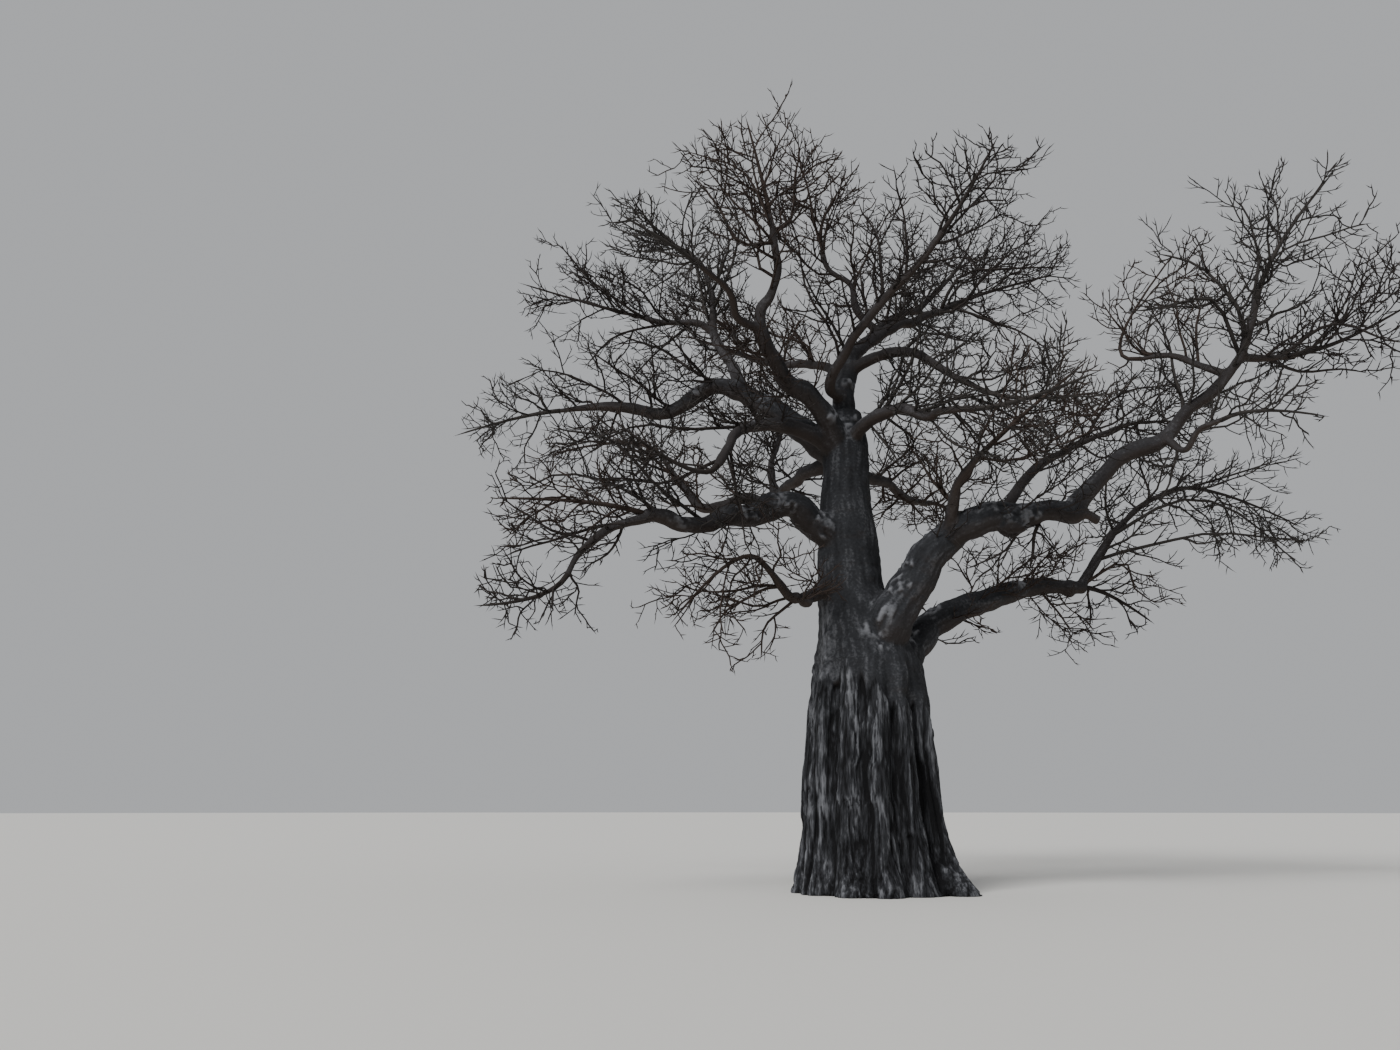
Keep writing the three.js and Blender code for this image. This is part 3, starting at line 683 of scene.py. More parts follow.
def together(groups: list[Twigs]) -> Twigs:
    """Twigs of one order from several groups, all with as many points to a twig, as one."""
    names = ("owner", "spine", "radii", "seed")
    return Twigs(*(np.concatenate([getattr(group, name) for group in groups]) for name in names))


class Draw(Enum):
    """What a draw for a twig decides. Each has its own salt."""

    TURN = 1
    AIM = 2
    LENGTH = 3
    ANGLE = 4
    ROLL = 5
    BEND = 6
    WOBBLE = 8
    THIN = 9


def drawn(seed: Array, what: Draw, step: int = 0) -> Array:
    """Shares from 0 to 1 that always follow from the same seeds.

    Args:
        seed: One seed for each twig.
        what: What the draw decides.
        step: Tells repeated draws of one kind apart.

    Returns:
        One share for each seed.
    """
    salt = np.uint64(what.value + DRAW_STEP * step)
    mixed = (seed ^ (salt * np.uint64(0x9E3779B1) & WORD)) * np.uint64(0x85EBCA6B) & WORD
    mixed = stirred(mixed, 13, 0xC2B2AE35)
    return (mixed ^ (mixed >> np.uint64(16))) / 2.0**32


def child_seed(seed: Array, index: int) -> Array:
    """Seeds of the twigs with one index, from their parents' seeds."""
    return (seed * np.uint64(CHILD_STEP) + np.uint64(index + 1)) & WORD


def bowed(start: Array, bend: Array, goal: Array, steps: int) -> Array:
    """Points of curves that leave their starts towards bends and end at goals.

    Args:
        start: Where each curve starts.
        bend: The point that pulls each one.
        goal: Where each one ends.
        steps: How many stretches the points bound.

    Returns:
        One row of steps + 1 points for each curve.
    """
    t = np.linspace(0, 1, steps + 1)[None, :, None]
    start, bend, goal = start[:, None], bend[:, None], goal[:, None]
    return start * (1 - t) ** 2 + bend * 2 * t * (1 - t) + goal * t * t


@dataclass(frozen=True)
class ShootOrder:
    """How twigs of one order leave the twigs before them, by turns on either side.

    One stands every gap along the parent from the share start on, most at the most. reach holds
    the least and the greatest length at the parent's root, of which fall is lost by its tip.
    forward and lift turn a shoot's end towards the parent's way and upwards. place says where in
    its gap a shoot stands: the least share, and what chance adds to it.
    """

    first_index: int
    gap: float
    most: int
    reach: Pair
    steps: int
    angle: float
    girth: float
    thinnest: float
    start: float = 0.1
    end: float = 0.97
    place: Pair = (0.2, 0.6)
    fall: float = 0.4
    longest: float = 0.7
    least: float = 120
    forward: float = 0.35
    lift: float = 0.12
    wobble: float = 0.08
    stray: float = 0.06
    angle_range: float = 24
    roll_range: float = 2.2
    trims: tuple[float, ...] = (1, 0.8, 0.6, 0.45)


@dataclass(frozen=True)
class Branching:
    """How branches leave a limb or a stem.

    They grow where its radius is under thickest, and are shorter where it is over stout. sides are
    half turns from its level side, taken by turns, swing is how far branches stray from there, and
    hang the share that leaves below instead.
    """

    start: float
    end: float
    thickest: float
    stout: float
    gap: Pair
    angle: float
    reach: Pair
    girth: Pair
    lift: float = 0.3
    least_lift: float = 0.3
    hang: float = 0.34
    swing: float = 1.9
    sides: Pair = (0.8, 0.2)
    narrowing: float = 16
    angle_range: float = 24
    thickest_foot: float = 0.5
    # Least share of the reach where the wood is slim and where it is stout, and what chance adds
    least_reach: Pair = (0.65, 0.35)
    reach_range: float = 0.6
    # Where the wood is stout: the share of branches that hangs, and the share of their girth
    stout_hang: float = 0.5
    stout_girth: float = 0.6


@dataclass
class Crown:
    """The masses of twigs: one stem each, with branches and side shoots in its own space."""

    paths: dict[str, LimbPath]
    trunk: TrunkShape
    box: Array
    first_seed: int = 11
    space_back: float = 0.12
    space_margin: float = 0.05
    limb_clearance: float = 30
    obstacle_step: float = 120
    batch: int = 2000
    stem_girth: float = 0.95
    stem_reach: float = 0.97
    stem_lead: float = 0.35
    stem_steps: int = 9
    stem_thinnest: float = 15
    # A twig's least radius at its root over the one at its tip, and its tip's share of its root
    least_taper: float = 1.15
    tip_share: float = 0.3
    # Branches: shares along the space and the stem, for the main ones and the ones between them
    branch_front: float = 0.9
    branch_back: float = -0.42
    branch_stray: float = 0.6
    branch_first: float = 0.07
    branch_last: float = 0.62
    branch_bow: float = 0.16
    branch_least: float = 700
    branch_girth: float = 0.5
    branch_steps: int = 8
    main_thinnest: float = 1.3
    branch_trims: tuple[float, ...] = (0.96, 0.82, 0.68, 0.54, 0.4)
    main_branches: int = 5
    side_trims: tuple[float, ...] = (1, 0.85, 0.7, 0.55, 0.4)
    side_stray: float = 0.05
    # Steps of a side branch's seed, by its owner and by its place in the row, and the first one
    side_seeds: tuple[int, int, int] = (97, 7919, 5)
    # How far the upright leans that level is taken from, for side branches and for waves
    side_slant: float = 0.2
    wave_slant: float = 0.3
    long_seed: int = 5000
    long_wobble: float = 0.04
    long_trims: tuple[float, ...] = (1, 0.94, 0.88, 0.8, 0.7, 0.6)
    branch_free: float = 1500
    crown_margin: float = 0.04
    thinnest: float = 12
    thickest_stem: float = 62
    branch_wobble: float = 0.085
    most_waves: int = 4
    # Strength of the waves, and what is added to a wave's number before it divides that
    wave_fall: Pair = (2.4, 0.6)
    on_limbs: Branching = Branching(
        start=0.28, end=0.97, thickest=360, stout=150, gap=(240, 240), angle=62,
        reach=(3300, 2500), girth=(26, 42),
    )
    on_stems: Branching = Branching(
        start=0.04, end=0.95, thickest=400, stout=400, gap=(300, 220), angle=60,
        reach=(2400, 1400), girth=(20, 30), lift=0.2,
    )
    # Masses that show more sky, and the share of their branches that grow
    fullness: dict[str, float] = field(
        default_factory=lambda: {
            "right_low": 0.8, "top_left": 0.55, "left_small": 0.65, "cross_front": 0.6,
            "leader_low": 0.65, "left_low_out": 0.8, "right_in": 0.45, "top": 0.9,
            "right_under": 0.8, "crook": 0.9, "left_rise_out": 0.55, "left_rise": 0.75,
            "left_elbow": 0.6, "left_low_fork": 0.7, "right_end": 0.8,
        }
    )

    def __post_init__(self) -> None:
        """Sets up the spaces, the stems and what the twigs must miss."""
        limbs = [limb for limb in LIMBS if limb.twigs]
        paths = [self.paths[limb.name] for limb in limbs]
        spaces = [limb.twigs for limb in limbs]
        self.names = [f"{limb.name}_twigs" for limb in limbs]
        self.tips = np.array([path.spine[-1] for path in paths])
        self.tip_way = unit(self.tips - np.array([path.spine[-2] for path in paths]))
        self.tip_radius = np.array([path.radii[-1] for path in paths])
        self.forward = np.array([direction(space.heading, space.climb) for space in spaces])
        self.side = unit(np.cross(UP, self.forward))
        self.over = np.cross(self.forward, self.side)
        reach = np.array([space.reach for space in spaces])
        self.half = reach * (1 + self.space_back) / 2
        self.spread = np.array([space.spread for space in spaces])
        self.rise = np.array([space.rise for space in spaces])
        self.centre = self.tips + self.forward * (reach - self.half)[:, None]
        self.obstacles = np.zeros((0, 5))
        for number, limb in enumerate(LIMBS):
            path = self.paths[limb.name]
            self.add_obstacles(path.spine, path.radii, LIMB_CODE + number)
        heights = np.arange(0, self.trunk.height(), self.obstacle_step)
        lean, radius = self.trunk.body(heights)
        rows = np.stack([lean, 0 * heights, heights, radius, 0 * heights - 1], axis=1)
        self.obstacles = np.vstack([self.obstacles, rows])

    def add_obstacles(self, spine: Array, radii: Array, owner: int) -> None:
        """Adds a limb's or stem's middle line to what the other twigs must miss.

        Args:
            spine: Its points.
            radii: Its radii.
            owner: The mass that it belongs to, or LIMB_CODE and the limb's number.
        """
        rows = []
        for k in range(1, len(spine)):
            gap = np.linalg.norm(spine[k] - spine[k - 1])
            count = math.ceil(gap / self.obstacle_step)
            for share in np.arange(count) / count:
                point = spine[k - 1] + (spine[k] - spine[k - 1]) * share
                rows.append([*point, radii[k - 1] + (radii[k] - radii[k - 1]) * share, owner])
        self.obstacles = np.vstack([self.obstacles, rows])

    def depths(self, points: Array) -> Array:
        """How deep points lie in each mass's space.

        Args:
            points: The points, along the first axes.

        Returns:
            0 at a space's middle and 1 at its skin, with one more axis for the spaces.
        """
        away = points[..., None, :] - self.centre
        return np.sqrt(
            ((away * self.forward).sum(-1) / self.half) ** 2
            + ((away * self.side).sum(-1) / self.spread) ** 2
            + ((away * self.over).sum(-1) / self.rise) ** 2
        )

    def in_crown(self, points: Array) -> Array:
        """Tells which points lie in any mass's space, or just outside it."""
        return self.depths(points).min(axis=-1) < 1 + self.crown_margin

    def fits(
        self, owner: Array, spine: Array, radius: Array, stray: float | None = None
    ) -> Array:
        """Tells which twigs keep to their mass's space and clear of limbs and stems.

        Args:
            owner: The mass of each twig.
            spine: The twigs' points.
            radius: Each twig's radius at its root.
            stray: How far past its space a fine twig may reach, as a share of it. None for
                branches, which also keep out of the other spaces.

        Returns:
            True for each twig that is kept.
        """
        inner = spine[:, 1:]
        depth = self.depths(inner)
        own = np.take_along_axis(depth, owner[:, None, None], axis=2)[..., 0]
        if stray is None:
            np.put_along_axis(depth, owner[:, None, None], np.inf, axis=2)
            inside = (own < 1) & (own + self.space_margin < depth.min(axis=2))
        else:
            inside = own < 1 + stray
        return inside.all(axis=1) & self.clear(owner, inner, radius)

    def clear(self, owner: Array, points: Array, radius: Array) -> Array:
        """Tells which twigs stay clear of the limbs, the trunk and other masses' stems.

        Args:
            owner: The mass of each twig.
            points: The twigs' points.
            radius: Each twig's radius at its root.

        Returns:
            True for each twig that stays clear.
        """
        centres = self.obstacles[:, :3].astype(np.float32)
        kept = np.ones(len(points), dtype=bool)
        for first in range(0, len(points), self.batch):
            rows = slice(first, first + self.batch)
            here = points[rows].astype(np.float32)
            square = (here**2).sum(-1)[..., None] + (centres**2).sum(-1) - 2 * here @ centres.T
            needed = self.obstacles[:, 3] + radius[rows, None] + self.limb_clearance
            own = self.obstacles[:, 4] == owner[rows, None]
            missed = (square > needed[:, None] ** 2) | own[:, None]
            kept[rows] = missed.all(axis=(1, 2))
        return kept

    def tapered(self, spine: Array, radius: Array, thinnest: float) -> Array:
        """Radii that thin out evenly from a twig's root to its tip.

        Args:
            spine: The twigs' points.
            radius: Each twig's radius at its root.
            thinnest: The least radius at a tip.

        Returns:
            One row of radii for each twig.
        """
        share = np.linspace(0, 1, spine.shape[1])[None, :]
        root = np.maximum(radius, thinnest * self.least_taper)[:, None]
        return root + (np.maximum(root * self.tip_share, thinnest) - root) * share

    def stems(self) -> Twigs:
        """The stem of each mass, from its limb's tip towards the front of its space.

        Returns:
            One stem for each mass.
        """
        goal = self.centre + self.forward * (self.half * self.stem_reach)[:, None]
        reach = np.linalg.norm(goal - self.tips, axis=1)[:, None]
        bend = self.tips + self.tip_way * reach * self.stem_lead
        spine = bowed(self.tips, bend, goal, self.stem_steps)
        girth = np.minimum(self.tip_radius * self.stem_girth, self.thickest_stem)
        radii = self.tapered(spine, girth, self.stem_thinnest)
        owners = np.arange(len(self.tips))
        seed = owners.astype(np.uint64) + np.uint64(self.first_seed)
        for owner in owners:
            self.add_obstacles(spine[owner], radii[owner], owner)
        return Twigs(owners, spine, radii, seed)

    def branches(self, stems: Twigs) -> Twigs:
        """Branches that fan out from the stems to points spread evenly over each space's skin.

        Args:
            stems: The masses' stems.

        Returns:
            All branches that fit.
        """
        found = []
        count = self.main_branches
        for index in range(count):
            seed = child_seed(stems.seed, index)
            along = self.branch_front + (self.branch_back - self.branch_front) * (index + 0.5) / count
            turn = drawn(stems.seed, Draw.TURN) * 2 * math.pi + GOLDEN_ANGLE * index
            turn = turn + drawn(seed, Draw.AIM) * self.branch_stray
            ring = math.sqrt(1 - along * along)
            skin = self.forward * (self.half * along)[:, None]
            skin = skin + self.side * (self.spread * ring * np.cos(turn))[:, None]
            skin = skin + self.over * (self.rise * ring * np.sin(turn))[:, None]
            share = self.branch_last + (self.branch_first - self.branch_last) * index / (count - 1)
            start, way, radius = stems.at(np.full(len(stems.owner), share))
            left = np.ones(len(start), dtype=bool)
            for trim in self.branch_trims:
                goal = self.centre + skin * trim
                reach = np.linalg.norm(goal - start, axis=1)[:, None]
                bend = start + (goal - start) * 0.5 + way * reach * self.branch_bow
                spine = bowed(start, bend, goal, self.branch_steps)
                spine = self.crooked(spine, seed, self.branch_wobble)
                fit = self.fits(stems.owner, spine, radius) & (reach[:, 0] >= self.branch_least)
                take = fit & left
                thinnest = self.thinnest * self.main_thinnest
                radii = self.tapered(spine, radius * self.branch_girth, thinnest)
                found.append(Twigs(stems.owner, spine, radii, seed).chosen(take))
                left &= ~fit
        return self.thinned(together(found))

    def thinned(self, twigs: Twigs) -> Twigs:
        """Leaves out a share of the twigs in the masses that show more sky.

        Args:
            twigs: The twigs.

        Returns:
            The ones that grow.
        """
        kept = np.array([self.fullness.get(name.removesuffix("_twigs"), 1.0) for name in self.names])
        loose = twigs.owner >= LIMB_CODE
        share = np.where(loose, 1.0, kept[np.where(loose, 0, twigs.owner)])
        return twigs.chosen(drawn(twigs.seed, Draw.THIN) < share)

    def crooked(self, spine: Array, seed: Array, wobble: float) -> Array:
        """Bends twigs in slow waves that leave their two ends in place.

        Args:
            spine: The twigs' points.
            seed: The twigs' seeds.
            wobble: How far a wave may stray, as a share of the twig's length.

        Returns:
            The moved points.
        """
        chord = spine[:, -1] - spine[:, 0]
        reach = np.linalg.norm(chord, axis=1)[:, None, None]
        aside = unit(np.cross(chord, UP + self.wave_slant * np.roll(UP, 1)))
        over = unit(np.cross(chord, aside))
        share = np.linspace(0, 1, spine.shape[1])[None, :, None]
        for wave in range(1, min(self.most_waves, spine.shape[1] - 2) + 1):
            first = drawn(seed, Draw.WOBBLE, 2 * wave)[:, None] - 0.5
            second = drawn(seed, Draw.WOBBLE, 2 * wave + 1)[:, None] - 0.5
            sway = (aside * first + over * second)[:, None] * reach * wobble
            sway = sway * self.wave_fall[0] / (self.wave_fall[1] + wave)
            spine = spine + sway * np.sin(math.pi * wave * share)
        return spine

    def long_branches(self) -> Twigs:
        """The long branches that the photo shows, cut to stay within the solids' box.

        Returns:
            All of them.
        """
        numbers = {limb.name: number for number, limb in enumerate(LIMBS)}
        owner = np.array([LIMB_CODE + numbers[branch.limb] for branch in BRANCHES])
        seed = np.arange(len(BRANCHES), dtype=np.uint64) + np.uint64(self.long_seed)
        spines, radii = [], []
        for index, branch in enumerate(BRANCHES):
            path = self.paths[branch.limb]
            foot = path.fine_spine[round(branch.foot * (len(path.fine_spine) - 1))]
            legs = [length * direction(heading, climb) for length, heading, climb in branch.legs]
            reach = np.cumsum([0 * foot, *legs], axis=0)
            for trim in self.long_trims:
                spine = even_path(foot + reach * trim, self.branch_steps)[None]
                spine = self.crooked(spine, seed[index : index + 1], self.long_wobble)
                if self.inside_box(spine).all():
                    break
            spines.append(spine[0])
            radii.append(np.linspace(*branch.girth, self.branch_steps + 1))
        return Twigs(owner, np.array(spines), np.array(radii), seed)

    def side_branches(self, stems: Twigs) -> Twigs:
        """Branches all along the slim part of the limbs and along the masses' stems.

        Args:
            stems: The masses' stems.

        Returns:
            All side branches that fit.
        """
        rows = []
        for number, limb in enumerate(LIMBS):
            path = self.paths[limb.name]
            rows += self.leaving(LIMB_CODE + number, path.fine_spine, path.fine_radii, self.on_limbs)
        for owner in range(len(self.names)):
            rows += self.leaving(owner, stems.spine[owner], stems.radii[owner], self.on_stems)
        owner, start, leave, rise, radius, reach, seed = (np.array(part) for part in zip(*rows))
        seed = seed.astype(np.uint64)
        found = []
        left = np.ones(len(start), dtype=bool)
        for trim in self.side_trims:
            long = (reach * trim)[:, None]
            goal = start + unit(leave + UP * rise[:, None]) * long
            bend = start + leave * long * 0.5
            spine = self.crooked(bowed(start, bend, goal, self.branch_steps), seed, self.branch_wobble)
            fit = self.inside_box(spine) & left
            fit &= self.in_crown(spine[:, -1]) | (long[:, 0] < self.branch_free)
            tried = np.flatnonzero(fit)
            fit[tried] = self.clear(owner[tried], spine[tried, 1:], radius[tried])
            tried = np.flatnonzero(fit & (owner < LIMB_CODE))
            fit[tried] = self.fits(owner[tried], spine[tried], radius[tried], self.side_stray)
            radii = self.tapered(spine, radius, self.thinnest)
            found.append(Twigs(owner, spine, radii, seed).chosen(fit))
            left &= ~fit
        return self.thinned(together(found))

    def leaving(
        self, owner: int, spine: Array, radii: Array, how: Branching
    ) -> list[tuple]:
        """Plans the branches that leave one limb or stem.

        Args:
            owner: The code of the limb, or the mass's number.
            spine: The points of the limb or stem.
            radii: Its radii.
            how: How the branches leave it.

        Returns:
            Owner, start, way, rise, radius, reach and seed of each branch.
        """
        travelled = travelled_along(spine)
        thin = travelled[np.argmax(radii < how.thickest)]
        place = max(thin, travelled[-1] * how.start)
        slanted = UP + self.side_slant * direction(owner * 90, 0)
        by_owner, by_place, first = self.side_seeds
        rows = []
        while place < travelled[-1] * how.end:
            number = (owner + 1) * by_owner + len(rows) * by_place + first
            seed = np.array([number], dtype=np.uint64)
            draws = {what: float(drawn(seed, what)[0]) for what in Draw}
            ring = min(int(np.searchsorted(travelled, place)), len(travelled) - 2)
            way = unit(spine[ring + 1] - spine[ring])
            level = unit(np.cross(slanted, way))
            over = np.cross(way, level)
            stout = radii[ring] > how.stout
            turn = how.sides[len(rows) % 2] * math.pi
            turn += (draws[Draw.TURN] - 0.5) * how.swing
            if draws[Draw.WOBBLE] < (how.stout_hang if stout else how.hang):
                turn = -turn
            aside = level * math.cos(turn) + over * math.sin(turn)
            share = place / travelled[-1]
            angle = how.angle - how.narrowing * share
            angle = math.radians(angle + (draws[Draw.ANGLE] - 0.5) * how.angle_range)
            leave = unit(way * math.cos(angle) + aside * math.sin(angle))
            rise = how.lift * (how.least_lift + draws[Draw.BEND])
            girth = how.girth[0] + (how.girth[1] - how.girth[0]) * draws[Draw.ROLL]
            girth *= how.stout_girth if stout else 1
            girth = min(radii[ring] * how.thickest_foot, girth)
            reach = how.reach[0] + (how.reach[1] - how.reach[0]) * share
            reach *= how.least_reach[int(stout)] + how.reach_range * draws[Draw.LENGTH]
            rows.append((owner, spine[ring], leave, rise, girth, reach + radii[ring], seed[0]))
            place += how.gap[0] + how.gap[1] * draws[Draw.AIM]
        return rows

    def inside_box(self, spine: Array) -> Array:
        """Tells which twigs stay within the solids' own box."""
        inside = (spine > self.box[0]) & (spine < self.box[1])
        return inside.all(axis=(1, 2))

    def shoots(self, parents: Twigs, order: ShootOrder) -> Twigs:
        """Side shoots that stand out on either side of their parents, shorter towards the tips.

        Args:
            parents: The twigs that bear them.
            order: How this order of shoots grows.

        Returns:
            All shoots that fit.
        """
        found = []
        counts = np.rint(parents.lengths() * (1 - order.start) / order.gap)
        counts = np.clip(counts, 1, order.most)
        for index in range(int(counts.max())):
            bearing = parents.chosen(counts > index)
            seed = child_seed(bearing.seed, order.first_index + index)
            place = index + order.place[0] + order.place[1] * drawn(seed, Draw.TURN)
            share = order.start + (order.end - order.start) * (place / counts[counts > index])
            start, way, radius = bearing.at(share)
            loose = bearing.owner >= LIMB_CODE
            centre = self.centre[np.where(loose, 0, bearing.owner)]
            across = unit(np.cross(way, np.where(loose[:, None], UP, start - centre)))
            roll = ((drawn(seed, Draw.ROLL) - 0.5) * order.roll_range)[:, None]
            across = across * np.cos(roll) + np.cross(way, across) * np.sin(roll)
            spread = order.angle + (drawn(seed, Draw.ANGLE) - 0.5) * order.angle_range
            angle = np.radians(spread)[:, None]
            side = 1 if index % 2 else -1
            leave = unit(way * np.cos(angle) + across * side * np.sin(angle))
            aim = unit(leave + way * order.forward + UP * order.lift)
            vigour = order.reach[0] + (order.reach[1] - order.reach[0]) * drawn(seed, Draw.LENGTH)
            full = np.minimum(vigour, bearing.lengths() * order.longest) * (1 - order.fall * share)
            girth = radius * order.girth
            left = np.ones(len(start), dtype=bool)
            for trim in order.trims:
                long = (full * trim)[:, None]
                spine = bowed(start, start + leave * long * 0.5, start + aim * long, order.steps)
                spine = self.crooked(spine, seed, order.wobble)
                fit = left & self.inside_box(spine) & (long[:, 0] >= order.least)
                tried = np.flatnonzero(fit & loose)
                fit[tried] = self.clear(bearing.owner[tried], spine[tried, 1:], girth[tried])
                tried = np.flatnonzero(fit & ~loose)
                fit[tried] = self.fits(
                    bearing.owner[tried], spine[tried], girth[tried], order.stray
                )
                radii = self.tapered(spine, girth, order.thinnest)
                found.append(Twigs(bearing.owner, spine, radii, seed).chosen(fit))
                left &= ~fit
        return together(found)


def frames(spine: Array) -> tuple[Array, Array]:
    """Sideways directions along curves, carried on from ring to ring without twist.

    Args:
        spine: One row of points for each curve.

    Returns:
        Two unit vectors at each point, square to the curve and to each other.
    """
    way = np.empty_like(spine)
    way[:, 1:-1] = spine[:, 2:] - spine[:, :-2]
    way[:, 0] = spine[:, 1] - spine[:, 0]
    way[:, -1] = spine[:, -1] - spine[:, -2]
    way = unit(way)
    along_x = np.abs(way[:, :1, 0]) > NEAR_X
    start = np.where(along_x[..., None], [0.0, 1.0, 0.0], [1.0, 0.0, 0.0])[:, 0]
    side = np.empty_like(spine)
    for k in range(spine.shape[1]):
        along = (start * way[:, k]).sum(-1, keepdims=True)
        start = unit(start - way[:, k] * along)
        side[:, k] = start
    return side, np.cross(way, side)


def tubes(twigs: Twigs, sides: int) -> tuple[Array, list[Array]]:
    """Closed tubes along twigs, each with a pointed tip.

    Args:
        twigs: Their points and radii.
        sides: How many faces each has round it.

    Returns:
        The points, and arrays of faces by their number of corners.
    """
    count, rings = twigs.spine.shape[:2]
    side, over = frames(twigs.spine)
    turn = np.arange(sides) * 2 * math.pi / sides
    ring = side[:, :, None] * np.cos(turn)[:, None] + over[:, :, None] * np.sin(turn)[:, None]
    points = twigs.spine[:, :, None] + ring * twigs.radii[:, :, None, None]
    index = np.arange(count * rings * sides).reshape(count, rings, sides)
    after = np.roll(index, -1, axis=2)
    low, high = slice(0, rings - 2), slice(1, rings - 1)
    quads = np.stack([index[:, low], after[:, low], after[:, high], index[:, high]], axis=-1)
    faces = [quads.reshape(-1, 4), index[:, 0, ::-1]]
    points = points.reshape(-1, 3)
    tips = index[:, -1, 0]
    points[tips] = twigs.spine[:, -1]
    tip = np.broadcast_to(tips[:, None], (count, sides))
    cone = np.stack([index[:, -2], after[:, -2], tip], axis=-1).reshape(-1, 3)
    used = np.ones(len(points), dtype=bool)
    used[index[:, -1, 1:]] = False
    renumber = np.cumsum(used) - 1
    return points[used], [renumber[part] for part in [*faces, cone]]


def mesh_from(name: str, points: Array, faces: list[Array]) -> bpy.types.Mesh:
    """Makes a smooth-shaded mesh.

    Args:
        name: Its name.
        points: Its points, in millimetres.
        faces: Arrays of faces by their number of corners.

    Returns:
        The mesh, in metres.
    """
    mesh = bpy.data.meshes.new(name)
    corners = np.concatenate([part.ravel() for part in faces]).astype(np.int32)
    sizes = np.concatenate([np.full(len(part), part.shape[1]) for part in faces])
    starts = np.concatenate([[0], np.cumsum(sizes)[:-1]]).astype(np.int32)
    mesh.vertices.add(len(points))
    mesh.vertices.foreach_set("co", (points * MM).astype(np.float32).ravel())
    mesh.loops.add(len(corners))
    mesh.loops.foreach_set("vertex_index", corners)
    mesh.polygons.add(len(sizes))
    mesh.polygons.foreach_set("loop_start", starts)
    mesh.update(calc_edges=True)
    mesh.polygons.foreach_set("use_smooth", np.ones(len(sizes), dtype=bool))
    mesh.validate()
    return mesh


def quad_edges(quads: Array) -> Array:
    """Pairs of points along the sides of quads, one for each side of each quad."""
    return np.concatenate([quads[:, [k, (k + 1) % 4]] for k in range(4)])


def set_out(name: str, data: bpy.types.ID) -> bpy.types.Object:
    """Makes an object of a mesh, light or camera and puts it in the scene.

    Args:
        name: The object's name.
        data: What it shows.

    Returns:
        The object.
    """
    item = bpy.data.objects.new(name, data)
    bpy.context.scene.collection.objects.link(item)
    return item


def show(
    mesh: bpy.types.Mesh, material: bpy.types.Material, nodes: list[str]
) -> bpy.types.Object:
    """Puts a mesh in the scene as a piece that stands for CAD nodes.

    Args:
        mesh: The piece's mesh.
        material: Its finish.
        nodes: The nodes that it replaces, if any.

    Returns:
        The piece.
    """
    piece = set_out(mesh.name, mesh)
    mesh.materials.append(material)
    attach(piece, "root")
    if nodes:
        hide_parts(*nodes)
    LOG.info("%s: %d faces", piece.name, len(mesh.polygons))
    return piece


@dataclass(frozen=True)
class Groove:
    """A deep groove up the trunk: its heading, depth, half width, and lowest and highest point."""

    heading: float
    depth: float
    half_width: float
    low: float
    high: float


@dataclass(frozen=True)
class Patch:
    """A pale patch, partly bark pale from wear and partly painted moonlight: its limb, how far along,
    which way it faces, and its radius.
    """

    limb: str
    share: float
    heading: float
    climb: float
    radius: float


@dataclass(frozen=True)
class Burr:
    """A swelling on a limb: where along it, which way it bulges, its radius and how far out."""

    limb: str
    share: float
    heading: float
    climb: float
    radius: float
    stand: float


@dataclass(frozen=True)
class Stub:
    """A limb's end where it broke off: from which share of the limb on, and its radius."""

    limb: str
    share: float
    radius: float


@dataclass
class Tube:
    """A limb or the trunk as a closed tube, with its frames for the bark."""

    name: str
    spine: Array
    radii: Array
    points: Array
    faces: list[Array]
    rings: Array


@dataclass
class Skin:
    """The wood's fused skin: points, faces, and where each point lies on its limb."""

    points: Array
    faces: Array
    owner: Array
    local: Array
    radius: Array
    seam: Array


@dataclass(frozen=True)
class Grain:
    """A noise in the bark: its length across and along the wood, its seed and its layers."""

    across: float
    along: float
    seed: int
    layers: int = 1

    def at(self, place: Array) -> Array:
        """The noise at places in millimetres, with the last column along the wood."""
        lengths = np.array([self.across, self.across, self.along])
        return layered_noise(place / lengths, self.seed, self.layers)


@dataclass(frozen=True)
class BarkNoises:
    """The noises behind the bark's forms and shades."""

    slow_bend: Grain = Grain(700, 700, 21)
    quick_bend: Grain = Grain(260, 260, 22)
    crack: Grain = Grain(170, 2600, 31)
    strip: Grain = Grain(66, 1700, 32)
    flake: Grain = Grain(80, 260, 37)
    streak: Grain = Grain(78, 2300, 39)
    lump: Grain = Grain(520, 520, 33, 2)
    wrinkle: Grain = Grain(95, 520, 34)
    fold: Grain = Grain(520, 115, 35)
    knob: Grain = Grain(190, 190, 36)
    scab: Grain = Grain(82, 82, 45)
    weather: Grain = Grain(60, 800, 44)
    # The ragged edges of the pale patches of wear and painted moonlight
    worn_and_lit: Grain = Grain(150, 210, 43, 3)
    pale: Grain = Grain(640, 640, 41, 3)
    coarse_edge: Grain = Grain(420, 1500, 38)
    fine_edge: Grain = Grain(90, 700, 40)


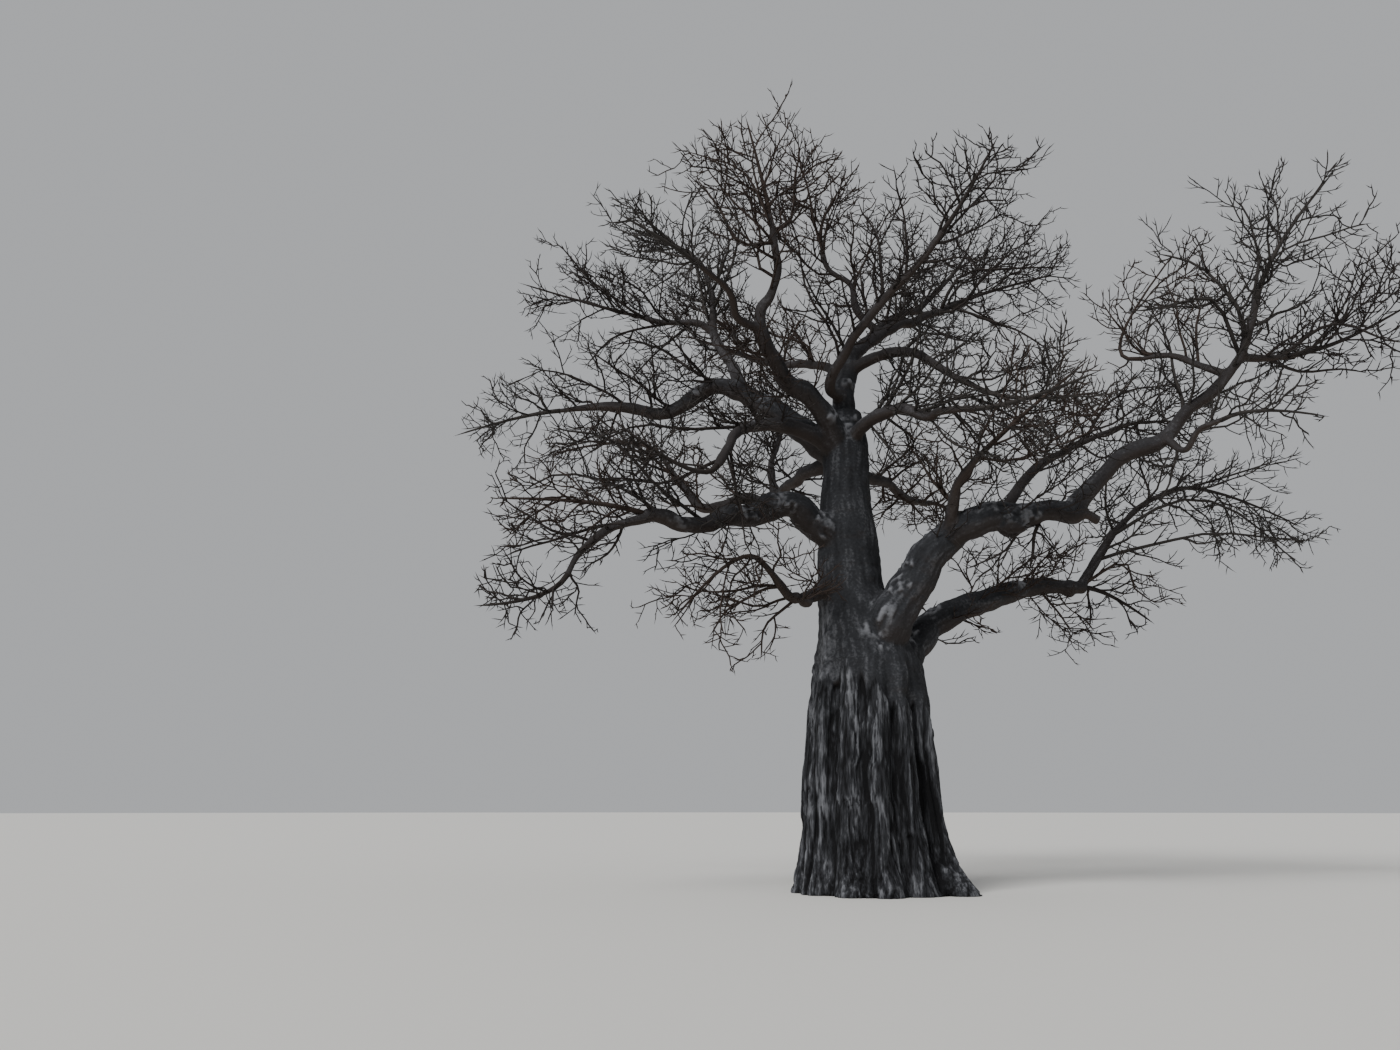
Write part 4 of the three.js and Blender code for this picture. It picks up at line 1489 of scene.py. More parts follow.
@dataclass
class Wood:
    """Trunk and limbs as one skin of bark, parted into pieces of a size that exports well."""

    trunk: TrunkShape
    paths: dict[str, LimbPath]
    voxel: float = 31.5
    trunk_sides: int = 180
    trunk_step: float = 40
    limb_sides: int = 20
    # How the flutes wander: their noise's scale round the trunk, its length up it, and its reach
    flute_wander: tuple[float, float, float] = (1.6, 900, 0.07)
    flute_seed: int = 3
    stub_taper: float = 0.035
    # A burr's faces round it, and its lumps by their scale, their layers and their height's share
    burr_sides: int = 32
    burr_lumps: tuple[float, int, float] = (1.9, 2, 0.22)
    # Seams between limbs: how far they spread, what is kept each time, and how calm the bark is
    seam_rounds: int = 9
    seam_spread: float = 0.96
    seam_calm: float = 0.75
    # Softening: rounds, the first ones that also soften between seams, and the shares of both
    smooth_rounds: int = 14
    voxel_rounds: int = 2
    voxel_pull: float = 0.35
    seam_gain: float = 1.3
    seam_pull: float = 0.55
    ground: float = 2
    # Moves each limb to its own place in the noises
    limb_shift: float = 137.0
    noises: BarkNoises = BarkNoises()
    # Widths of cracks, strips and the furrows between flutes, as shares of their waves
    crack_width: float = 0.17
    strip_width: float = 0.26
    flute_width: float = 0.28
    # Heights between which the flakes stand out more and more
    flake_rise: Pair = (2200, 3900)
    # Radius at which smooth bark and worn bark have their full relief, and the least share of it
    smooth_full: Pair = (420, 0.12)
    worn_full: Pair = (300, 0.3)
    # Height up to which the bark is rough, its rise towards one heading, and its dip at another
    rough_top: float = 3680
    rough_fade: float = 180
    rough_rise: Pair = (200, 560)
    rough_dip: tuple[float, float, float] = (-94, 16, 260)
    ledge: float = 28
    # Heading and half angle of the trunk's pale flaking side, its top, and how far that fades
    pale_side: tuple[float, float, float, float] = (204, 20, 6000, 900)
    # Lengths over which the grooves set in from below and run out above
    groove_ends: Pair = (400, 1500)
    grooves: tuple[Groove, ...] = (
        Groove(-100, 115, 52, -400, 3500), Groove(-130, 95, 52, -400, 3300),
        Groove(-68, 75, 62, 200, 3000), Groove(-150, 70, 50, -400, 3700),
        Groove(-35, 75, 55, 300, 3300), Groove(8, 95, 60, -400, 3600),
        Groove(52, 110, 60, -400, 3800), Groove(88, 85, 60, -400, 3300),
        Groove(131, 105, 60, -400, 3900), Groove(172, 80, 55, -400, 3400),
    )
    # Pale patches, partly bark pale from wear and partly painted moonlight on the sides facing the
    # front, with painted light in one shadowed crotch
    patches: tuple[Patch, ...] = (
        Patch("leader", 0.02, -95, 10, 330), Patch("left_front", 0.25, -60, 30, 260),
        Patch("right_main", 0.16, -108, 0, 370), Patch("right_main", 0.75, -75, 0, 440),
        Patch("right_main", 0.23, -118, 15, 350), Patch("right_main", 0.31, -128, 30, 310),
        Patch("right_main", 0.39, -140, 45, 250),
        Patch("right_main", 0.66, -80, 55, 400), Patch("right_main", 0.88, -60, 80, 260),
        Patch("right_main", 0.45, 180, 60, 300), Patch("right_low", 0.2, -90, 35, 380),
        Patch("left_low", 0.14, -100, 15, 360), Patch("left_low", 0.36, -95, 0, 380),
        Patch("left_low", 0.5, -95, 10, 340), Patch("left_low", 0.82, -95, -15, 260),
        Patch("left_mid", 0.3, -100, 25, 280), Patch("left_mid", 0.55, -95, 20, 220),
        Patch("right_low", 0.35, -90, 70, 300), Patch("right_low", 0.7, -90, 75, 260),
        Patch("leader", 0.5, -60, 20, 240), Patch("left_elbow", 0.55, -90, 40, 200),
    )
    burrs: tuple[Burr, ...] = (
        Burr("right_main", 0.74, -70, -55, 310, 0.55),
        Burr("right_low", 0.93, -60, -20, 190, 0.5),
        Burr("right_low", 0.2, -75, 0, 360, 0.5),
        Burr("right_low", 0.13, -80, -5, 420, 0.45),
        Burr("left_low", 0.42, -80, 70, 260, 0.45),
        Burr("left_small", 0.5, -140, -62, 155, 0.62), Burr("left_small", 0.62, -100, 20, 125, 0.4),
        Burr("left_mid", 0.42, -100, 60, 230, 0.4),
        Burr("leader", 0.55, -90, 10, 180, 0.5),
    )
    stubs: tuple[Stub, ...] = (Stub("right_main", 0.925, 95),)

    def make(self) -> None:
        """Makes the skin with its relief, and shows its pieces."""
        tubes_made = [self.trunk_tube(), *(self.limb_tube(limb) for limb in LIMBS)]
        skin = self.fused(tubes_made)
        self.soften(skin)
        marks = self.carve(skin)
        self.part(skin, marks)

    def trunk_tube(self) -> Tube:
        """The trunk's tube, with its flutes, lobes and root toes.

        Returns:
            The tube.
        """
        heights = np.arange(0, self.trunk.height() + 1, self.trunk_step)
        turn = np.arange(self.trunk_sides) * 2 * math.pi / self.trunk_sides
        lean, body = self.trunk.body(heights)
        level, angle = np.meshgrid(heights, turn, indexing="ij")
        scale, length, reach = self.flute_wander
        spots = np.stack([np.cos(angle) * scale, np.sin(angle) * scale, level / length], axis=-1)
        wander = lattice_noise(spots.reshape(-1, 3), self.flute_seed).reshape(angle.shape)
        radius = self.trunk.radius(angle + wander * reach, level)
        points = np.stack(
            [lean[:, None] + radius * np.cos(angle), radius * np.sin(angle), level], axis=-1
        )
        spine = np.stack([lean, 0 * heights, heights], axis=-1)
        return self.closed("trunk", spine, body, points)

    def limb_tube(self, limb: Limb) -> Tube:
        """A limb's tube, gently swelling and narrowing along its length.

        Args:
            limb: The limb.

        Returns:
            Its tube.
        """
        path = self.paths[limb.name]
        side, over = (part[0] for part in frames(path.fine_spine[None]))
        turn = np.arange(self.limb_sides) * 2 * math.pi / self.limb_sides
        ring = side[:, None] * np.cos(turn)[:, None] + over[:, None] * np.sin(turn)[:, None]
        radii = path.fine_radii.copy()
        along = np.linspace(0, 1, len(radii))
        for stub in self.stubs:
            if stub.limb == limb.name:
                share = smooth_share(along, stub.share, stub.share + self.stub_taper)
                radii += (stub.radius - radii) * share
        points = path.fine_spine[:, None] + ring * radii[:, None, None]
        return self.closed(limb.name, path.fine_spine, radii, points)

    def closed(self, name: str, spine: Array, radii: Array, points: Array) -> Tube:
        """Closes rings of points into a tube.

        Args:
            name: The limb's name.
            spine: Its middle line.
            radii: Its radii.
            points: Its rings.

        Returns:
            The tube.
        """
        rings, sides = points.shape[:2]
        index = np.arange(rings * sides).reshape(rings, sides)
        after = np.roll(index, -1, axis=1)
        quads = np.stack([index[:-1], after[:-1], after[1:], index[1:]], axis=-1).reshape(-1, 4)
        faces = [quads, index[:1, ::-1], index[-1:]]
        ring_of = np.repeat(np.arange(rings), sides)
        return Tube(name, spine, radii, points.reshape(-1, 3), faces, ring_of)

    def burr_ball(self, burr: Burr, seed: int) -> tuple[Array, list[Array]]:
        """A lumpy ball for a burr.

        Args:
            burr: The burr.
            seed: Which lumps.

        Returns:
            Its points and faces.
        """
        path = self.paths[burr.limb]
        ring = int(burr.share * (len(path.fine_spine) - 1))
        stand = path.fine_radii[ring] * burr.stand
        centre = path.fine_spine[ring] + direction(burr.heading, burr.climb) * stand
        half = self.burr_sides // 2
        turn = np.arange(self.burr_sides) * math.pi / half
        lift = np.linspace(-math.pi / 2, math.pi / 2, half + 1)[1:-1]
        level, angle = np.meshgrid(lift, turn, indexing="ij")
        ways = np.stack(
            [np.cos(level) * np.cos(angle), np.cos(level) * np.sin(angle), np.sin(level)], -1
        )
        scale, layers, height = self.burr_lumps
        lumps = layered_noise(ways.reshape(-1, 3) * scale + seed, seed, layers).reshape(level.shape)
        points = centre + ways * (burr.radius * (1 + height * lumps))[..., None]
        tube = self.closed(burr.limb, points.mean(axis=1), lift, points)
        return tube.points, tube.faces

    def fused(self, parts: list[Tube]) -> Skin:
        """Fuses tubes and burrs into one even skin, and finds each point's place on its limb.

        Args:
            parts: The trunk's and limbs' tubes.

        Returns:
            The skin.
        """
        points = [part.points for part in parts]
        faces = [part.faces for part in parts]
        for seed, burr in enumerate(self.burrs):
            ball, ball_faces = self.burr_ball(burr, seed)
            points.append(ball)
            faces.append(ball_faces)
        starts = np.cumsum([0, *(len(part) for part in points)])
        moved = [part + start for group, start in zip(faces, starts) for part in group]
        mesh = mesh_from("wood_tubes", np.concatenate(points), moved)
        block = set_out("wood_tubes", mesh)
        remesh = block.modifiers.new("skin", "REMESH")
        remesh.mode = "VOXEL"
        remesh.voxel_size = self.voxel * MM
        even = block.evaluated_get(bpy.context.evaluated_depsgraph_get()).to_mesh()
        corners = np.empty(len(even.vertices) * 3, dtype=np.float32)
        even.vertices.foreach_get("co", corners)
        loops = np.empty(len(even.loops), dtype=np.int32)
        even.loops.foreach_get("vertex_index", loops)
        quads = loops.reshape(-1, 4)
        skin = corners.reshape(-1, 3).astype(float) / MM
        bpy.data.objects.remove(block)
        bpy.data.meshes.remove(mesh)
        LOG.info("wood skin: %d quads", len(quads))
        return self.placed(skin, quads, parts)

    def placed(self, skin: Array, quads: Array, parts: list[Tube]) -> Skin:
        """Finds the limb that each point of the skin lies on, and where on it.

        Args:
            skin: The skin's points.
            quads: Its faces.
            parts: The trunk's and limbs' tubes.

        Returns:
            The skin with its owners, local coordinates and radii.
        """
        every = np.concatenate([part.points for part in parts])
        tree = kdtree.KDTree(len(every))
        for index, point in enumerate(every):
            tree.insert(point, index)
        tree.balance()
        nearest = np.array([tree.find(point)[1] for point in skin])
        owner_of = np.repeat(np.arange(len(parts)), [len(part.points) for part in parts])
        ring_of = np.concatenate([part.rings for part in parts])
        owner, ring = owner_of[nearest], ring_of[nearest]
        local = np.zeros_like(skin)
        radius = np.zeros(len(skin))
        for number, part in enumerate(parts):
            mine = owner == number
            side, over = (vectors[0] for vectors in frames(part.spine[None]))
            travelled = travelled_along(part.spine)
            way = np.cross(side, over)
            at = ring[mine]
            away = skin[mine] - part.spine[at]
            local[mine, 0] = (away * side[at]).sum(-1)
            local[mine, 1] = (away * over[at]).sum(-1)
            local[mine, 2] = travelled[at] + (away * way[at]).sum(-1)
            radius[mine] = part.radii[at]
        edges = quad_edges(quads)
        seam = np.zeros(len(skin))
        crossing = owner[edges[:, 0]] != owner[edges[:, 1]]
        seam[edges[crossing].ravel()] = 1
        for _ in range(self.seam_rounds):
            seam = np.maximum(seam, self.around(seam, edges) * self.seam_spread)
        return Skin(skin, quads, owner, local, radius, seam)

    def around(self, values: Array, edges: Array) -> Array:
        """Mean of each point's neighbours.

        Args:
            values: A number or a row for each point.
            edges: Pairs of points.

        Returns:
            The means.
        """
        count = np.bincount(edges[:, 1], minlength=len(values))
        columns = values.reshape(len(values), -1)
        total = np.stack(
            [
                np.bincount(edges[:, 1], weights=columns[edges[:, 0], k], minlength=len(values))
                for k in range(columns.shape[1])
            ],
            axis=-1,
        )
        return (total / np.maximum(count, 1)[:, None]).reshape(values.shape)

    def soften(self, skin: Skin) -> None:
        """Rounds the creases where limbs meet, and the voxels' steps a little everywhere.

        Args:
            skin: The skin.
        """
        edges = quad_edges(skin.faces)
        ground = skin.points[:, 2] < self.ground
        pull = np.clip(skin.seam * self.seam_gain, 0.0, 1.0) * self.seam_pull
        for turn in range(self.smooth_rounds):
            share = np.maximum(pull, self.voxel_pull) if turn < self.voxel_rounds else pull
            moved = self.around(skin.points, edges)
            skin.points += (moved - skin.points) * share[:, None]
        skin.points[ground, 2] = 0

    def normals(self, skin: Skin) -> Array:
        """Unit normal at each point of the skin.

        Args:
            skin: The skin.

        Returns:
            One normal for each point.
        """
        corner = skin.points[skin.faces]
        normal = np.cross(corner[:, 2] - corner[:, 0], corner[:, 3] - corner[:, 1])
        total = np.zeros_like(skin.points)
        for k in range(4):
            for axis in range(3):
                total[:, axis] += np.bincount(
                    skin.faces[:, k], weights=normal[:, axis], minlength=len(total)
                )
        return unit(total)

    def carve(self, skin: Skin) -> Array:
        """Moves the skin in and out with the bark's relief.

        Args:
            skin: The skin.

        Returns:
            The tone with its painted shade and painted moonlight, warmth, roughness and grain place of
            each point, in columns.
        """
        noises = self.noises
        place = skin.local + (skin.owner * self.limb_shift)[:, None]
        turn = np.arctan2(skin.local[:, 1], skin.local[:, 0])
        rough = self.roughness(skin, place, turn)
        smooth = 1 - rough
        calm = 1 - skin.seam * self.seam_calm
        bend = noises.slow_bend.at(place) * 60 + noises.quick_bend.at(place) * 22
        waved = place + bend[:, None] * np.array([1.0, 1.0, 0.0])
        crack = np.exp(-((noises.crack.at(waved) / self.crack_width) ** 2))
        strip = np.exp(-((noises.strip.at(waved) / self.strip_width) ** 2))
        flake = np.clip(noises.flake.at(waved) * 2 - 0.5, 0, 1)
        high = smooth_share(skin.points[:, 2], *self.flake_rise)
        lump = noises.lump.at(place)
        flute = 1 + np.cos(self.trunk.flutes * (turn + bend / 1300))
        flute = np.exp(-((flute / self.flute_width) ** 2))
        groove = self.grooved(skin, turn, bend)
        wrinkle = noises.wrinkle.at(waved)
        fold = noises.fold.at(place)
        knob = np.clip(noises.knob.at(place) - 0.45, 0, 1)
        worn_and_lit = self.worn_and_lit(skin, place)
        scab = noises.scab.at(place)
        # How far each form stands out or goes in, in millimetres
        deep = self.ledge - 34 * crack - 26 * strip - 55 * flute + 12 * lump
        deep = (deep + (14 + 26 * high) * flake) * rough - groove * calm
        size, worn_size = (
            np.clip(skin.radius / full, least, 1) for full, least in (self.smooth_full, self.worn_full)
        )
        fine = size * (38 * lump + 14 * wrinkle + 9 * fold + 40 * knob) * smooth
        fine += worn_and_lit * (12 + 34 * scab) * worn_size * smooth
        skin.points += self.normals(skin) * ((deep + fine) * calm)[:, None]
        skin.points[:, 2] = np.maximum(skin.points[:, 2], 0)
        # How much each form pales the bark, or darkens it: the darkening in cracks, strips, flute
        # furrows and deep grooves is painted shade
        dark = 0.9 * crack + 0.8 * strip + 0.8 * flute
        tone = rough * (0.5 + 0.65 * noises.streak.at(waved) - dark + 0.6 * flake * high)
        # Painted shade in the deep grooves
        tone -= np.clip(groove / 60, 0, 1.6)
        pale = noises.pale.at(skin.points)
        tone += smooth * (0.05 + 0.3 * wrinkle + 0.35 * noises.weather.at(waved)) + 0.35 * pale
        flaky = self.flaking(skin, turn) * (0.55 + 1.4 * flake + 0.5 * scab)
        # Pale patches: partly wear and partly painted moonlight
        tone += (worn_and_lit * (0.75 + 1.5 * scab) + flaky) * (1 - 0.4 * rough)
        # Undersides and slim wood are warmer
        facing = self.normals(skin)[:, 2]
        warm = smooth_share(-facing, -0.1, 0.9) * smooth * 0.5
        warm += smooth_share(260 - skin.radius, 0, 200) * 0.3
        return np.column_stack([tone, warm, rough, place / METRE])

    def roughness(self, skin: Skin, place: Array, turn: Array) -> Array:
        """How rough the bark is at each point: the trunk's foot is, with a ragged upper edge.

        Args:
            skin: The skin.
            place: Each point's place for the noises.
            turn: Its heading on the trunk.

        Returns:
            A share from 0 for smooth bark to 1 for rough bark.
        """
        heading, rise = self.rough_rise
        top = self.rough_top + rise * np.cos(turn - math.radians(heading))
        heading, half_angle, dip = self.rough_dip
        top -= dip * near_heading(turn, heading, half_angle)
        ragged = skin.points[:, 2] + 260 * self.noises.coarse_edge.at(place)
        ragged += 230 * self.noises.fine_edge.at(place)
        rough = 1 - smooth_share(ragged - top, 0, self.rough_fade)
        return np.where(skin.owner == 0, rough, 0)

    def flaking(self, skin: Skin, turn: Array) -> Array:
        """How much the smooth bark flakes and pales at each point of the trunk's one side.

        Args:
            skin: The skin.
            turn: Each point's heading on the trunk.

        Returns:
            A share for each point.
        """
        heading, half_angle, top, fade = self.pale_side
        share = near_heading(turn, heading, half_angle)
        share *= 1 - smooth_share(skin.points[:, 2], top - fade, top)
        return np.where(skin.owner == 0, share, 0)

    def grooved(self, skin: Skin, turn: Array, bend: Array) -> Array:
        """Depth of the trunk's deep grooves at each point.

        Args:
            skin: The skin.
            turn: Each point's heading on the trunk.
            bend: How far the bark's strands stray there, in millimetres.

        Returns:
            A depth in millimetres for each point.
        """
        level = skin.points[:, 2]
        start, end = self.groove_ends
        total = np.zeros(len(level))
        for groove in self.grooves:
            aside = turned_from(turn, groove.heading) * skin.radius + bend
            share = smooth_share(level, groove.low, groove.low + start)
            share *= 1 - smooth_share(level, groove.high - end, groove.high)
            total += groove.depth * share * np.exp(-((aside / groove.half_width) ** 2))
        return np.where(skin.owner == 0, total, 0)

    def worn_and_lit(self, skin: Skin, place: Array) -> Array:
        """How pale each point is with wear and with painted moonlight, in ragged patches.

        Args:
            skin: The skin.
            place: Each point's place for the noises.

        Returns:
            A share for each point.
        """
        ragged = 1.1 * self.noises.worn_and_lit.at(place)
        total = np.zeros(len(place))
        for patch in self.patches:
            path = self.paths[patch.limb]
            ring = round(patch.share * (len(path.fine_spine) - 1))
            stand = path.fine_radii[ring] * direction(patch.heading, patch.climb)
            gap = np.linalg.norm(skin.points - path.fine_spine[ring] - stand, axis=1)
            total = np.maximum(total, smooth_share(1 - gap / patch.radius + ragged, 0, 0.8))
        return total

    def part(self, skin: Skin, marks: Array) -> None:
        """Parts the skin into pieces and shows each.

        Args:
            skin: The carved skin.
            marks: Tone, warmth, roughness and grain place of each point.
        """
        normal = self.normals(skin)
        bark = FurrowedBark().material()
        sides = [BoughSide.TRUNK, *(BoughSide.of(limb.name) for limb in LIMBS)]
        number = np.array([list(BoughSide).index(side) for side in sides])
        face_side = number[skin.owner[skin.faces[:, 0]]]
        for index, side in enumerate(BoughSide):
            faces = skin.faces[face_side == index]
            used, compact = np.unique(faces, return_inverse=True)
            mesh = mesh_from(side.value, skin.points[used], [compact.reshape(-1, 4)])
            for column, mark in enumerate(MARKS):
                kept = mesh.attributes.new(mark, "FLOAT", "POINT")
                kept.data.foreach_set("value", marks[used, column])
            grain = mesh.attributes.new("grain", "FLOAT_VECTOR", "POINT")
            grain.data.foreach_set("vector", marks[used, len(MARKS) :].ravel())
            mesh.normals_split_custom_set_from_vertices(normal[used].tolist())
            if side is BoughSide.TRUNK:
                show(mesh, bark, ["trunk"])
            else:
                nodes = [limb.name for limb in LIMBS if BoughSide.of(limb.name) is side]
                show(mesh, bark, nodes)


class BoughSide(Enum):
    """The pieces that the wood's skin is parted into, by their names."""

    TRUNK = "trunk_wood"
    RIGHT = "right_boughs"
    LEFT = "left_boughs"
    CROWN = "crown_boughs"

    @staticmethod
    def of(name: str) -> "BoughSide":
        """The piece that a limb's skin belongs to, by the limb's name."""
        if name.startswith("right"):
            return BoughSide.RIGHT
        return BoughSide.LEFT if name.startswith("left") else BoughSide.CROWN


def new_material(name: str) -> tuple[bpy.types.Material, bpy.types.NodeTree, bpy.types.Node]:
    """Starts a material.

    Args:
        name: Its name.

    Returns:
        The material, its node tree and its shader.
    """
    material = bpy.data.materials.new(name)
    material.use_nodes = True
    return material, material.node_tree, material.node_tree.nodes["Principled BSDF"]


@dataclass(frozen=True)
class FurrowedBark:
    """Baobab bark, grown in ridges and furrows and weathered.

    The eye gets dark furrows with painted shade in them, pale dusty ridges, pale patches that are
    partly painted moonlight, and a brown tint on the undersides, with no gloss.
    """

    # The darkest colour, painted shade for the cracks, strips, flute furrows and deep grooves
    furrow_shade: str = "#0a0a0c"
    base: str = "#2c2d30"
    ridge: str = "#6a6b6f"
    warm: str = "#403630"
    roughness: float = 0.9
    roughness_range: Pair = (-0.08, 0.06)
    ior: float = 1.45
    gloss: float = 0.25
    # Bark fibres, in millimetres across and along; real ones are a third of this
    fibre: Pair = (38, 420)
    # Pits of the smooth bark higher up, drawn twice as coarse as real ones
    pit: float = 52
    bump_depth: float = 22
    # Shares of the tone and of the fibres and pits in the colour, and what is added to the tone
    tone_share: float = 0.34
    tone_base: float = 0.1
    fibre_share: float = 0.62
    # Where the darkest colour (the furrows' painted shade), the base's and the ridge's colour lie
    # between dark and pale
    colour_places: tuple[float, float, float] = (0.08, 0.48, 0.95)

    def material(self) -> bpy.types.Material:
        """Makes the bark's material.

        Returns:
            The material.
        """
        material, tree, shader = new_material("furrowed_bark_weathered_painted_shade")
        shader.inputs["IOR"].default_value = self.ior
        shader.inputs["Specular IOR Level"].default_value = self.gloss
        # The tone mark carries painted shade in the furrows and painted moonlight in the pale patches
        tone, warm, rough_bark, grain = (
            add_node(tree, "ShaderNodeAttribute", {"attribute_name": mark})
            for mark in (*MARKS, "grain")
        )
        across, along = (METRE / size for size in self.fibre)
        stretch = add_node(
            tree, "ShaderNodeMapping", {"Scale": (across, across, along)},
            {"Vector": grain.outputs["Vector"]},
        )
        fibres = add_node(
            tree, "ShaderNodeTexNoise", {"Scale": 1.0, "Detail": 4.0, "Roughness": 0.62},
            {"Vector": stretch.outputs["Vector"]},
        )
        pits = add_node(
            tree,
            "ShaderNodeTexNoise",
            {"Scale": METRE / self.pit, "Detail": 3.0, "Roughness": 0.55},
            {"Vector": grain.outputs["Vector"]},
        )
        smooth_bark = add_node(
            tree,
            "ShaderNodeMapRange",
            {"From Min": 0.25, "From Max": 0.75, "To Min": 0.42, "To Max": 0.58},
            {"Value": pits.outputs["Fac"]},
        )
        grown = add_node(
            tree,
            "ShaderNodeMix",
            {"data_type": "FLOAT"},
            {
                0: rough_bark.outputs["Fac"],
                MIX_NUMBERS[0]: smooth_bark.outputs["Result"],
                MIX_NUMBERS[1]: fibres.outputs["Fac"],
            },
        )
        lift = add_node(
            tree,
            "ShaderNodeMath",
            {"operation": "MULTIPLY_ADD", FACTOR: self.tone_share, ADDEND: self.tone_base},
            {0: tone.outputs["Fac"]},
        )
        crisp = add_node(
            tree, "ShaderNodeMapRange", {"From Min": 0.32, "From Max": 0.68},
            {"Value": grown.outputs[0]},
        )
        total = add_node(
            tree, "ShaderNodeMath", {"operation": "MULTIPLY_ADD", FACTOR: self.fibre_share},
            {0: crisp.outputs["Result"], ADDEND: lift.outputs["Value"]},
        )
        shades = add_node(tree, "ShaderNodeValToRGB", {}, {"Fac": total.outputs["Value"]})
        ramp = shades.color_ramp
        # The ramp's darkest end is the furrows' painted shade
        furrow_shade_place, base_place, ridge_place = self.colour_places
        ramp.elements[0].position = furrow_shade_place
        ramp.elements[0].color = linear(self.furrow_shade)
        ramp.elements[1].position = ridge_place
        ramp.elements[1].color = linear(self.ridge)
        ramp.elements.new(base_place).color = linear(self.base)
        tint = add_node(
            tree, "ShaderNodeMix", {"data_type": "RGBA", "blend_type": "MIX"},
            {0: warm.outputs["Fac"], MIX_COLOURS[0]: shades.outputs["Color"]},
        )
        tint.inputs[MIX_COLOURS[1]].default_value = linear(self.warm)
        bump = add_node(
            tree, "ShaderNodeBump", {"Strength": 1.0, "Distance": self.bump_depth * MM},
            {"Height": grown.outputs[0]},
        )
        low, high = (self.roughness + share for share in self.roughness_range)
        rough = add_node(
            tree, "ShaderNodeMapRange", {"To Min": low, "To Max": high},
            {"Value": fibres.outputs["Fac"]},
        )
        tree.links.new(tint.outputs[MIX_COLOUR_OUT], shader.inputs["Base Color"])
        tree.links.new(rough.outputs["Result"], shader.inputs["Roughness"])
        tree.links.new(bump.outputs["Normal"], shader.inputs["Normal"])
        return material


@dataclass(frozen=True)
class TwigBark:
    """Thin bark of this year's and last year's twigs, smooth and matt.

    The eye gets a dark brown with slightly paler patches.
    """

    name: str
    colour: str
    pale: str
    roughness: float = 0.86
    roughness_range: float = 0.06
    ior: float = 1.45
    gloss: float = 0.25
    # Length of a patch along the twigs, in millimetres
    patch: float = 160

    def material(self) -> bpy.types.Material:
        """Makes the twig bark's material.

        Returns:
            The material.
        """
        material, tree, shader = new_material(self.name)
        shader.inputs["IOR"].default_value = self.ior
        shader.inputs["Specular IOR Level"].default_value = self.gloss
        place = add_node(tree, "ShaderNodeTexCoord")
        patches = add_node(
            tree, "ShaderNodeTexNoise", {"Scale": METRE / self.patch, "Detail": 3.0},
            {"Vector": place.outputs["Object"]},
        )
        tint = add_node(
            tree, "ShaderNodeMix", {"data_type": "RGBA", "blend_type": "MIX"},
            {0: patches.outputs["Fac"]},
        )
        for socket, colour in zip(MIX_COLOURS, (self.colour, self.pale)):
            tint.inputs[socket].default_value = linear(colour)
        low, high = self.roughness - self.roughness_range, self.roughness + self.roughness_range
        rough = add_node(
            tree, "ShaderNodeMapRange", {"To Min": low, "To Max": high},
            {"Value": patches.outputs["Fac"]},
        )
        tree.links.new(tint.outputs[MIX_COLOUR_OUT], shader.inputs["Base Color"])
        tree.links.new(rough.outputs["Result"], shader.inputs["Roughness"])
        return material


